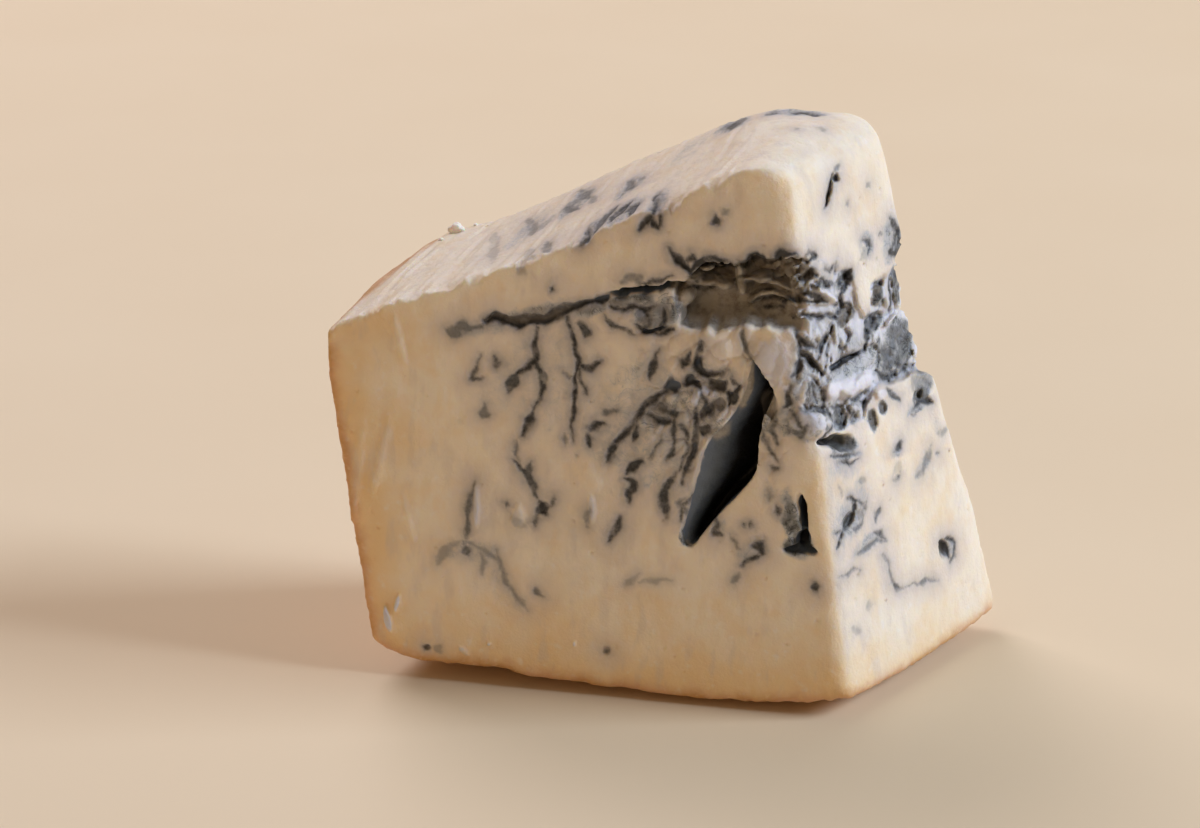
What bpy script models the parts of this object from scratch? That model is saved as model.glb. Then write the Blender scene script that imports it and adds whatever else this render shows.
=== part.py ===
"""A wedge of blue cheese that stands on its rind: two radial cuts front and back, a flat rind
side at the left, a broken and cut side at the right, and a knife cut sloping over the top.

Sizes are in millimetres and are turned to metres when the mesh is written. The working frame
has its origin at the foot of the near corner, where the front meets the right side. X runs
along the front, Y goes into the wedge, Z is up. The finished part is moved so that the middle
of the bottom of its box is the origin.
"""
import math

import bmesh
import bpy
import numpy as np

MM = 0.001

# Faces: a point of each plane and its outward direction.
FRONT = ((0.0, 0.0, 0.0), (0.0, -0.998, 0.066))
BACK = ((17.0, 35.2, 1.0), (0.025, 0.993, 0.113))
LEFT = ((-67.9, 0.0, 2.5), (-0.911, 0.376, -0.166))
RIGHT = ((0.2, 0.0, 0.0), (0.886, -0.435, 0.158))

# Knife cut over the top, and the nearly level shoulder at its high end.
LEFT_END_X = -72.0
FRONT_EDGE_Z, FRONT_EDGE_SLOPE = 48.3, 0.447
BACK_EDGE_Z, BACK_EDGE_SLOPE = 48.7, 0.5
SAG_X, SAG_HALF, SAG_DEPTH = -46.0, 15.0, 1.2
SWELL_X, SWELL_HALF, SWELL_HEIGHT = -28.0, 9.0, 0.5
CUT_NEAR_Y, CUT_FAR_Y = 5.0, 27.0
SHOULDER_Z, SHOULDER_RISE, SHOULDER_FALL = 74.9, 0.4, 0.015
SHOULDER_ROUND = 3.0
TOP_STEEPNESS, FOOT_STEEPNESS = 0.93, 0.98
KNIFE_RIDGE, KNIFE_PITCH, KNIFE_SKEW = 0.16, 4.4, 0.3

# Rind foot: bulged both ways, with a small flat where the wedge rests.
FOOT_Z, FOOT_FLAT_Z = -3.3, -3.0
FOOT_X, FOOT_Y, FOOT_HALF_Y, FOOT_BULGE = -22.0, 17.5, 17.5, 0.9
FOOT_CURVE_LEFT, FOOT_CURVE_RIGHT = 0.00125, 0.0046
RIM_X, RIM_CURVE, RIM_LENGTH = -60.0, 0.03, 20.0
PLAN_SKEW, PLAN_DEEP = 0.49, 40.0

# Band where the right side has broken away.
BREAK_Z, BREAK_FALL, BREAK_HALF, BREAK_DEPTH = 55.5, 0.2, 8.5, 1.9
BREAK_FROM_Y, BREAK_GROW_Y = 8.0, 14.0

# Rounding where faces meet.
ROUND_TOP_RIGHT, ROUND_TOP_LEFT, ROUND_FRONT = 6.5, 2.2, 2.6
ROUND_BACK, ROUND_FOOT = 1.0, 1.6
ROUND_BACK_RIGHT_LOW, ROUND_BACK_RIGHT_HIGH = 1.5, 6.0
ROUND_FROM_Z, ROUND_GROW_Z = 22.0, 36.0

# Soft swelling of the faces: depth, then length and direction of each wave.
SWELL = 0.13
SWELL_WAVES = ((37.0, 20.0), (23.0, 75.0), (16.0, 130.0))

# Mesh columns along X, Y and Z.
COLUMNS = (44, 11, 24)
START_AT, START_SIZE = (-70.0, 0.0, 0.0), (75.0, 35.0, 60.0)
SETTLE_STEPS = 14
PROBE = 0.02
LEAST_SLOPE = 0.25

# Long needle slot in the front.
SLOT_TOP, SLOT_FOOT = (-14.4, 47.4), (-22.8, 20.4)
SLOT_BOW, SLOT_HALF, SLOT_DEPTH = 2.0, 3.4, 12.0
SLOT_RINGS, SLOT_TIP, SLOT_ARC_POINTS = 9, 0.03, 7

# Crack that opens along the front and widens toward the near corner.
CRACK_FROM_X, CRACK_OPEN_X, CRACK_TO_X = -49.0, -33.0, 4.5
CRACK_Z, CRACK_RISE, CRACK_RISE_LENGTH = 50.6, 0.265, 22.0
CRACK_OPEN_LENGTH = 12.0
CRACK_THIN, CRACK_WIDE = 1.1, 8.2
CRACK_SHALLOW, CRACK_DEEP = 1.8, 6.0
CRACK_RINGS = 17
CRACK_WAVE, CRACK_WAVE_LENGTH = 0.35, 7.3
CRACK_CLOSE_X, CRACK_CLOSE_LENGTH = -13.0, 7.0
CRACK_CLOSE_DEEP, CRACK_CLOSE_WIDE = 0.62, 0.3

# Gap under the overhanging flake on the right side: start and end as (y, z).
GAP_FROM, GAP_TO = (4.0, 54.5), (17.0, 47.0)
GAP_HALF, GAP_DEPTH, GAP_RINGS = 2.0, 3.0, 8
GAP_ARCH_FROM, GAP_ARCH_SPAN = 0.12, 0.8

# Small hollows, each as centre along and up, half width, half height, depth and lean in degrees.
FRONT_HOLLOWS = {"hollow_low": (-7.4, 24.6, 1.7, 4.8, 3.8, 14.0),
                 "hollow_mid": (-24.6, 41.6, 2.5, 1.7, 1.6, -30.0)}
RIGHT_HOLLOWS = {"hollow_mould": (6.6, 35.6, 3.3, 2.0, 3.6, 4.0),
                 "hollow_hole": (25.2, 13.1, 1.2, 1.8, 3.6, 8.0),
                 "hollow_grey": (19.0, 49.3, 2.6, 1.7, 2.4, -20.0)}
HOLLOW_SEGMENTS, HOLLOW_RINGS = 14, 10
OUTSIDE = 3.0

CHEESE_TINT, CHEESE_ROUGHNESS = (0.83, 0.73, 0.53, 1.0), 0.5
SHARP_DEGREES = 38.0


def start_empty():
    """Remove whatever objects the scene opens with."""
    for item in list(bpy.data.objects):
        bpy.data.objects.remove(item, do_unlink=True)


def unit(vector):
    """Return a direction of length one."""
    vector = np.array(vector, float)
    return vector / np.linalg.norm(vector)


def plane_distance(points, plane):
    """Signed distance of points outside a plane."""
    return (points - np.array(plane[0])) @ unit(plane[1])


def bell(value):
    """Smooth bump: one at the middle, nothing from one outward."""
    value = np.clip(np.abs(value), 0.0, 1.0)
    return (1.0 - value * value) ** 2


def ease(value):
    """Smooth step from nothing to one."""
    value = np.clip(value, 0.0, 1.0)
    return value * value * (3.0 - 2.0 * value)


def soft_max(first, second, radius):
    """Larger of two distances with the crease rounded over."""
    blend = np.maximum(radius - np.abs(first - second), 0.0) / radius
    return np.maximum(first, second) + blend * blend * radius * 0.25


def soft_swell(along, up, phase):
    """Slow unevenness of a cut face."""
    total = np.zeros_like(along)
    for length, turn in SWELL_WAVES:
        turn = math.radians(turn) + phase
        across = along * math.cos(turn) + up * math.sin(turn)
        total = total + np.sin(2 * math.pi * across / length + phase)
    return SWELL * total


def top_height(x, y):
    """Height of the knife cut with its shoulder."""
    back = ease((y - CUT_NEAR_Y) / (CUT_FAR_Y - CUT_NEAR_Y))
    near = FRONT_EDGE_Z + FRONT_EDGE_SLOPE * (x - LEFT_END_X)
    near = near - SAG_DEPTH * bell((x - SAG_X) / SAG_HALF)
    near = near + SWELL_HEIGHT * bell((x - SWELL_X) / SWELL_HALF)
    far = BACK_EDGE_Z + BACK_EDGE_SLOPE * (x - LEFT_END_X)
    slope = near + (far - near) * back
    slope = slope + KNIFE_RIDGE * np.sin(2 * math.pi * (x - KNIFE_SKEW * y) / KNIFE_PITCH)
    shoulder = SHOULDER_Z + SHOULDER_RISE * back - SHOULDER_FALL * x
    return -soft_max(-slope, -shoulder, SHOULDER_ROUND)


def foot_height(x, y):
    """Height of the rind foot, flattened where it rests."""
    along = x - FOOT_X
    skewed = np.maximum(along - PLAN_SKEW * np.clip(y, 0.0, PLAN_DEEP), 0.0)
    left_curve = FOOT_CURVE_LEFT * np.minimum(along, 0.0) ** 2
    right_curve = FOOT_CURVE_RIGHT * skewed ** 2
    rim = RIM_CURVE * np.clip(RIM_X - x, 0.0, RIM_LENGTH) ** 2
    bulge = FOOT_BULGE * ((y - FOOT_Y) / FOOT_HALF_Y) ** 2
    return np.maximum(FOOT_Z + bulge + left_curve + right_curve + rim, FOOT_FLAT_Z)


def face_distances(points):
    """Signed distance outside each of the six faces."""
    x, y, z = points[:, 0], points[:, 1], points[:, 2]
    front = plane_distance(points, FRONT) + soft_swell(x, z, 0.4)
    back = plane_distance(points, BACK) + soft_swell(x, z, 2.1)
    left = plane_distance(points, LEFT) + 0.5 * soft_swell(y, z, 1.3)
    right = plane_distance(points, RIGHT) + soft_swell(y, z, 5.2)
    broken = bell((z - (BREAK_Z - BREAK_FALL * y)) / BREAK_HALF)
    right = right + BREAK_DEPTH * broken * ease((y - BREAK_FROM_Y) / BREAK_GROW_Y)
    top = TOP_STEEPNESS * (z - top_height(x, y))
    foot = FOOT_STEEPNESS * (foot_height(x, y) - z)
    return front, back, left, right, top, foot


def wedge_distance(points):
    """Signed distance outside the whole rounded wedge."""
    front, back, left, right, top, foot = face_distances(points)
    high = ease((points[:, 2] - ROUND_FROM_Z) / ROUND_GROW_Z)
    back_right = ROUND_BACK_RIGHT_LOW + (ROUND_BACK_RIGHT_HIGH - ROUND_BACK_RIGHT_LOW) * high
    form = soft_max(top, right, ROUND_TOP_RIGHT)
    form = soft_max(form, left, ROUND_TOP_LEFT)
    form = soft_max(form, front, ROUND_FRONT)
    form = soft_max(form, soft_max(right, back, back_right), ROUND_BACK)
    form = soft_max(form, back, ROUND_BACK)
    return soft_max(form, foot, ROUND_FOOT)


def plane_x(plane, y, z):
    """X of a plane above a place on Y and Z."""
    point, normal = np.array(plane[0]), unit(plane[1])
    return point[0] - (normal[1] * (y - point[1]) + normal[2] * (z - point[2])) / normal[0]


def plane_y(plane, x, z):
    """Y of a plane above a place on X and Z."""
    point, normal = np.array(plane[0]), unit(plane[1])
    return point[1] - (normal[0] * (x - point[0]) + normal[2] * (z - point[2])) / normal[1]


def sharp_block(share):
    """Place a unit block of points between the six faces, before any rounding."""
    u, v, w = share[:, 0], share[:, 1], share[:, 2]
    x, y, z = (np.array(START_AT) + np.array(START_SIZE) * share).T
    for _ in range(SETTLE_STEPS):
        left, right = plane_x(LEFT, y, z), plane_x(RIGHT, y, z)
        x = left + u * (right - left)
        near, far = plane_y(FRONT, x, z), plane_y(BACK, x, z)
        y = near + v * (far - near)
        low, high = foot_height(x, y), top_height(x, y)
        z = low + w * (high - low)
    return np.stack([x, y, z], 1)


def settle(points):
    """Move points along the slope of the distance until they lie on the rounded wedge."""
    for _ in range(SETTLE_STEPS):
        here = wedge_distance(points)
        slope = np.empty_like(points)
        for axis in range(3):
            nudge = np.zeros(3)
            nudge[axis] = PROBE
            slope[:, axis] = (wedge_distance(points + nudge) - here) / PROBE
        steep = np.maximum((slope * slope).sum(1), LEAST_SLOPE)
        points = points - slope * (here / steep)[:, None]
    return points


def divided_cube(columns):
    """Cube divided into the wanted number of columns along each axis."""
    mesh = bmesh.new()
    bmesh.ops.create_cube(mesh, size=2.0)
    for axis, count in enumerate(columns):
        along = [edge for edge in mesh.edges
                 if abs(edge.verts[0].co[axis] - edge.verts[1].co[axis]) > 1.0]
        bmesh.ops.subdivide_edges(mesh, edges=along, cuts=count - 1, use_grid_fill=True)
    return mesh


def add_object(name, mesh, material=None):
    """Turn a bmesh into a named object with outward faces."""
    bmesh.ops.recalc_face_normals(mesh, faces=mesh.faces)
    data = bpy.data.meshes.new(name)
    mesh.to_mesh(data)
    mesh.free()
    item = bpy.data.objects.new(name, data)
    bpy.context.scene.collection.objects.link(item)
    if material:
        data.materials.append(material)
    return item


def build_wedge(material):
    """Rounded wedge, and how far its working frame moves to the middle of its foot."""
    mesh = divided_cube(COLUMNS)
    corners = np.array([vertex.co[:] for vertex in mesh.verts])
    points = settle(sharp_block((corners + 1.0) / 2.0))
    low, high = points.min(0), points.max(0)
    shift = np.array([-(low[0] + high[0]) / 2.0, -(low[1] + high[1]) / 2.0, -low[2]])
    for vertex, place in zip(mesh.verts, points + shift):
        vertex.co = place * MM
    return add_object("cheese_wedge", mesh, material), shift


def loft(name, rings, shift):
    """Closed cutter through a row of rings that all have the same number of points."""
    mesh = bmesh.new()
    rows = [[mesh.verts.new((np.array(place) + shift) * MM) for place in ring] for ring in rings]
    count = len(rows[0])
    for one, two in zip(rows, rows[1:]):
        for index in range(count):
            after = (index + 1) % count
            mesh.faces.new((one[index], one[after], two[after], two[index]))
    mesh.faces.new(rows[0])
    mesh.faces.new(reversed(rows[-1]))
    return as_cutter(add_object(name, mesh))


def as_cutter(item):
    """Mark an object as a cutter that is not itself part of the wedge."""
    item.hide_render = True
    item.display_type = "WIRE"
    return item


def slot_rings():
    """Rings of the needle slot from its top tip to its foot."""
    rings = []
    for step in range(SLOT_RINGS):
        share = SLOT_TIP + (1.0 - 2.0 * SLOT_TIP) * step / (SLOT_RINGS - 1)
        arch = math.sin(math.pi * share)
        z = SLOT_TOP[1] + (SLOT_FOOT[1] - SLOT_TOP[1]) * share
        middle = SLOT_TOP[0] + (SLOT_FOOT[0] - SLOT_TOP[0]) * share + SLOT_BOW * math.sqrt(arch)
        half = SLOT_HALF * arch ** 1.2
        face = plane_y(FRONT, middle, z)
        deep = SLOT_DEPTH * arch ** 0.6
        ring = [(middle + half, face - OUTSIDE, z), (middle - half, face - OUTSIDE, z)]
        ring += [(middle - half * math.cos(turn), face + deep * math.sin(turn), z)
                 for turn in np.linspace(0.0, math.pi, SLOT_ARC_POINTS)]
        rings.append(ring)
    return rings


def crack_rings():
    """Rings of the front crack, from its thin end out past the near corner."""
    rings = []
    for x in np.linspace(CRACK_FROM_X, CRACK_TO_X, CRACK_RINGS):
        opened = float(ease((x - CRACK_OPEN_X) / CRACK_OPEN_LENGTH))
        wave = CRACK_WAVE * math.sin(2 * math.pi * x / CRACK_WAVE_LENGTH)
        wide = CRACK_THIN + (CRACK_WIDE - CRACK_THIN) * opened + wave
        deep = CRACK_SHALLOW + (CRACK_DEEP - CRACK_SHALLOW) * opened
        closed = float(ease((x - CRACK_CLOSE_X) / CRACK_CLOSE_LENGTH))
        wide = wide * (1.0 - CRACK_CLOSE_WIDE * closed)
        deep = deep * (1.0 - CRACK_CLOSE_DEEP * closed)
        middle = CRACK_Z + CRACK_RISE * min(x - CRACK_FROM_X, CRACK_RISE_LENGTH) + wave
        low, high = middle - wide / 2.0, middle + wide / 2.0
        face = plane_y(FRONT, x, middle)
        rings.append([(x, face - OUTSIDE, low), (x, face - OUTSIDE, high), (x, face, high),
                      (x, face + deep, high - 0.12 * wide), (x, face + 0.9 * deep, middle),
                      (x, face + 0.45 * deep, low + 0.16 * wide), (x, face, low)])
    return rings


def gap_rings():
    """Rings of the gap that runs on over the right side."""
    rings = []
    for step in range(GAP_RINGS):
        share = step / (GAP_RINGS - 1)
        arch = math.sin(math.pi * (GAP_ARCH_FROM + GAP_ARCH_SPAN * share))
        y = GAP_FROM[0] + (GAP_TO[0] - GAP_FROM[0]) * share
        z = GAP_FROM[1] + (GAP_TO[1] - GAP_FROM[1]) * share
        half, deep = GAP_HALF * arch, GAP_DEPTH * arch
        face = plane_x(RIGHT, y, z)
        rings.append([(face + OUTSIDE, y, z - half), (face + OUTSIDE, y, z + half),
                      (face, y, z + half), (face - deep, y, z + 0.3 * half),
                      (face - 0.6 * deep, y, z - 0.5 * half), (face, y, z - half)])
    return rings


def hollow(name, place, on_front, shift):
    """Egg-shaped cutter let into the front or the right side."""
    along, z, half_wide, half_high, deep, lean = place
    lean = math.radians(lean)
    mesh = bmesh.new()
    bmesh.ops.create_uvsphere(mesh, u_segments=HOLLOW_SEGMENTS, v_segments=HOLLOW_RINGS,
                              radius=1.0)
    if on_front:
        centre = np.array([along, plane_y(FRONT, along, z), z])
        across = np.array([1.0, 0.0, 0.0])
    else:
        centre = np.array([plane_x(RIGHT, along, z), along, z])
        across = unit((-RIGHT[1][1], RIGHT[1][0], 0.0))
    inward = -unit(FRONT[1] if on_front else RIGHT[1])
    upward = np.array([0.0, 0.0, 1.0])
    wide = math.cos(lean) * across + math.sin(lean) * upward
    tall = math.cos(lean) * upward - math.sin(lean) * across
    for vertex in mesh.verts:
        local = vertex.co
        reach = half_wide * local.x * wide + half_high * local.y * tall + deep * local.z * inward
        vertex.co = (centre + reach + shift) * MM
    return as_cutter(add_object(name, mesh))


def cheese_material():
    """Pale, slightly translucent cheese."""
    material = bpy.data.materials.new("cheese")
    material.use_nodes = True
    shader = material.node_tree.nodes["Principled BSDF"]
    shader.inputs["Base Color"].default_value = CHEESE_TINT
    shader.inputs["Roughness"].default_value = CHEESE_ROUGHNESS
    material.diffuse_color = CHEESE_TINT
    return material


def main():
    """Build the wedge and cut its crack, slot and hollows."""
    start_empty()
    wedge, shift = build_wedge(cheese_material())
    cutters = [loft("crack_cutter", crack_rings(), shift),
               loft("gap_cutter", gap_rings(), shift),
               loft("slot_cutter", slot_rings(), shift)]
    cutters += [hollow(name, place, True, shift) for name, place in FRONT_HOLLOWS.items()]
    cutters += [hollow(name, place, False, shift) for name, place in RIGHT_HOLLOWS.items()]
    for cutter in cutters:
        cut = wedge.modifiers.new(cutter.name, "BOOLEAN")
        cut.operation = "DIFFERENCE"
        cut.solver = "EXACT"
        cut.object = cutter
    wedge.data.shade_smooth()
    wedge.data.set_sharp_from_angle(angle=math.radians(SHARP_DEGREES))


main()
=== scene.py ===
"""Looks of the blue cheese wedge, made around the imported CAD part.

All shaping is done in millimetres in the wedge's own frame: the origin is the foot of the near
corner, where the front cut meets the broken right side, X runs along the front, Y goes into the
wedge and Z is up. One closed mesh replaces the CAD solid. It is the zero level of a distance
field: six uneven faces, blended, with the crack, the needle slot and the hollows let in. A few
loose crumbs of curd are a second, small mesh.
"""
import math

import bmesh
import bpy
import numpy as np
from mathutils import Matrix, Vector


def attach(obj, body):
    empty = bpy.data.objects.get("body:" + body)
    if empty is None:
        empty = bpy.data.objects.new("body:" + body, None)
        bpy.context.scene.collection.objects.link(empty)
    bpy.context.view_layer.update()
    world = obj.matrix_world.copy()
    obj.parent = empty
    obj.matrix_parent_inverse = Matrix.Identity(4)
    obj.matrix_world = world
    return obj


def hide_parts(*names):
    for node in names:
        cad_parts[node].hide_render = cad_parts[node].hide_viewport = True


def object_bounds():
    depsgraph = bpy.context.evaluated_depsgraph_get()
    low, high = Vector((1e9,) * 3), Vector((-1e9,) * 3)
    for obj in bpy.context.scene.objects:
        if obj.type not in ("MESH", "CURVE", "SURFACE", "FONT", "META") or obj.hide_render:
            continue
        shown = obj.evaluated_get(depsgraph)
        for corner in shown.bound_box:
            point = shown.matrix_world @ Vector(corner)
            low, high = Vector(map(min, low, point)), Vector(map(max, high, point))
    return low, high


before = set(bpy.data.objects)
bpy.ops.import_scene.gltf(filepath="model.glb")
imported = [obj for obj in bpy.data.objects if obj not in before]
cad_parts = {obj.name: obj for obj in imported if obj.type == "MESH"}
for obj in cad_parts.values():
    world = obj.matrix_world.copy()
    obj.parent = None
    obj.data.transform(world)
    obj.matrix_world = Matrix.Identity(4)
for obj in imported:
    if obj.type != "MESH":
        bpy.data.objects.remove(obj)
CAD_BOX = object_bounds()
MM = 0.001

# Where the frame's origin lies from the low corner of the CAD box, in mm.
ORIGIN_FROM_LOW = np.array([73.4559, 0.1197, 3.0])
ORIGIN = np.array(CAD_BOX[0][:]) / MM + ORIGIN_FROM_LOW

GRID = 0.24
TRIANGLE_LIMIT = 195000
DETAIL_STEPS, DETAIL_COST = 8, 1.0e-5
BOX_MARGIN = 0.002

# Faces: a point of each plane and its outward direction.
FRONT = ((0.0, 0.0, 0.0), (0.0, -0.998, 0.066))
BACK = ((17.0, 35.2, 1.0), (0.025, 0.993, 0.113))
LEFT = ((-67.9, 0.0, 2.5), (-0.911, 0.376, -0.166))
RIGHT = ((0.2, 0.0, 0.0), (0.886, -0.435, 0.158))


# ---------------------------------------------------------------- small maths

# Factors that scramble a seed and whole-numbered cells into noise.
SEED_FACTOR, SEED_LIMIT = 2654435761, 4294967296
CELL_FACTORS = (374761393, 668265263, 2246822519)
FIRST_MIX, SECOND_MIX = 1274126177, 2246822519
NOISE_BITS = 0xFFFFFF
# Where in its cell a scattered point may lie, and a distance beyond any cell.
POINT_FROM, POINT_SPREAD, BEYOND = 0.15, 0.7, 9.0


def bell(value):
    """Smooth bump: one at the middle, nothing from one outward."""
    value = np.clip(np.abs(value), 0.0, 1.0)
    return (1.0 - value * value) ** 2


def ease(value):
    """Smooth step from nothing to one."""
    value = np.clip(value, 0.0, 1.0)
    return value * value * (3.0 - 2.0 * value)


def soft_max(first, second, radius):
    """Larger of two distances with the crease rounded over."""
    blend = np.maximum(radius - np.abs(first - second), 0.0) / radius
    return np.maximum(first, second) + blend * blend * (radius * 0.25)


def soft_min(first, second, radius):
    """Smaller of two distances with the crease filled in."""
    return -soft_max(-first, -second, radius)


def lattice_value(cells, seed):
    """Pseudo-random number in 0..1 for whole-numbered cells."""
    mixed = np.uint32(seed * SEED_FACTOR % SEED_LIMIT) + np.zeros(1, np.uint32)
    for cell, factor in zip(cells, CELL_FACTORS):
        mixed = mixed + cell.astype(np.int64).astype(np.uint32) * np.uint32(factor)
    mixed = (mixed ^ (mixed >> np.uint32(13))) * np.uint32(FIRST_MIX)
    mixed = (mixed ^ (mixed >> np.uint32(16))) * np.uint32(SECOND_MIX)
    mixed = mixed ^ (mixed >> np.uint32(15))
    return (mixed & np.uint32(NOISE_BITS)).astype(np.float32) / np.float32(NOISE_BITS)


def noise(places, size, seed):
    """Smooth noise in -1..1 over two or three coordinates, with features about size wide."""
    scaled = [np.asarray(place, np.float32) / np.float32(size) for place in places]
    floors = [np.floor(value) for value in scaled]
    parts = [value - floor for value, floor in zip(scaled, floors)]
    parts = [part * part * part * (part * (part * 6.0 - 15.0) + 10.0) for part in parts]
    total = 0.0
    for corner in range(2 ** len(places)):
        offsets = [(corner >> axis) & 1 for axis in range(len(places))]
        weight = 1.0
        for part, offset in zip(parts, offsets):
            weight = weight * (part if offset else 1.0 - part)
        cells = [floor + offset for floor, offset in zip(floors, offsets)]
        total = total + weight * lattice_value(cells, seed)
    return total * 2.0 - 1.0


def layered_noise(places, size, seed, layers=3, fade=0.5):
    """Sum of finer and finer noise, still about -1..1."""
    total, weight, reach = 0.0, 1.0, 0.0
    for layer in range(layers):
        total = total + weight * noise(places, size, seed + 17 * layer)
        reach += weight
        size, weight = size * 0.5, weight * fade
    return total / reach


def cell_pattern(u, v, size, seed):
    """Distance to the nearest scattered point, gap to the next, its number, and the way to it."""
    su, sv = u / size, v / size
    fu, fv = np.floor(su), np.floor(sv)
    near = np.full(np.broadcast(su, sv).shape, BEYOND, np.float32)
    second, number, off_u, off_v = near.copy(), near.copy(), near.copy(), near.copy()
    for du in (-1, 0, 1):
        for dv in (-1, 0, 1):
            cu, cv = fu + du, fv + dv
            pu = cu + POINT_FROM + POINT_SPREAD * lattice_value((cu, cv), seed)
            pv = cv + POINT_FROM + POINT_SPREAD * lattice_value((cu, cv), seed + 1)
            away = np.sqrt((su - pu) ** 2 + (sv - pv) ** 2)
            which = lattice_value((cu, cv), seed + 2)
            closer = away < near
            second = np.where(closer, near, np.minimum(second, away))
            number = np.where(closer, which, number)
            off_u, off_v = np.where(closer, su - pu, off_u), np.where(closer, sv - pv, off_v)
            near = np.minimum(near, away)
    return near * size, (second - near) * size, number, off_u * size, off_v * size


def plane_value(plane, x, y, z):
    """Signed distance outside a plane."""
    point, normal = np.array(plane[0]), np.array(plane[1])
    normal = normal / np.linalg.norm(normal)
    offset = float(point @ normal)
    return normal[0] * x + normal[1] * y + normal[2] * z - offset


def plane_y(plane, x, z):
    """Y of a plane at a place on X and Z."""
    point, normal = plane
    return point[1] - (normal[0] * (x - point[0]) + normal[2] * (z - point[2])) / normal[1]


def plane_x(plane, y, z):
    """X of a plane at a place on Y and Z."""
    point, normal = plane
    return point[0] - (normal[1] * (y - point[1]) + normal[2] * (z - point[2])) / normal[0]


# ---------------------------------------------------------------- veins

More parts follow.
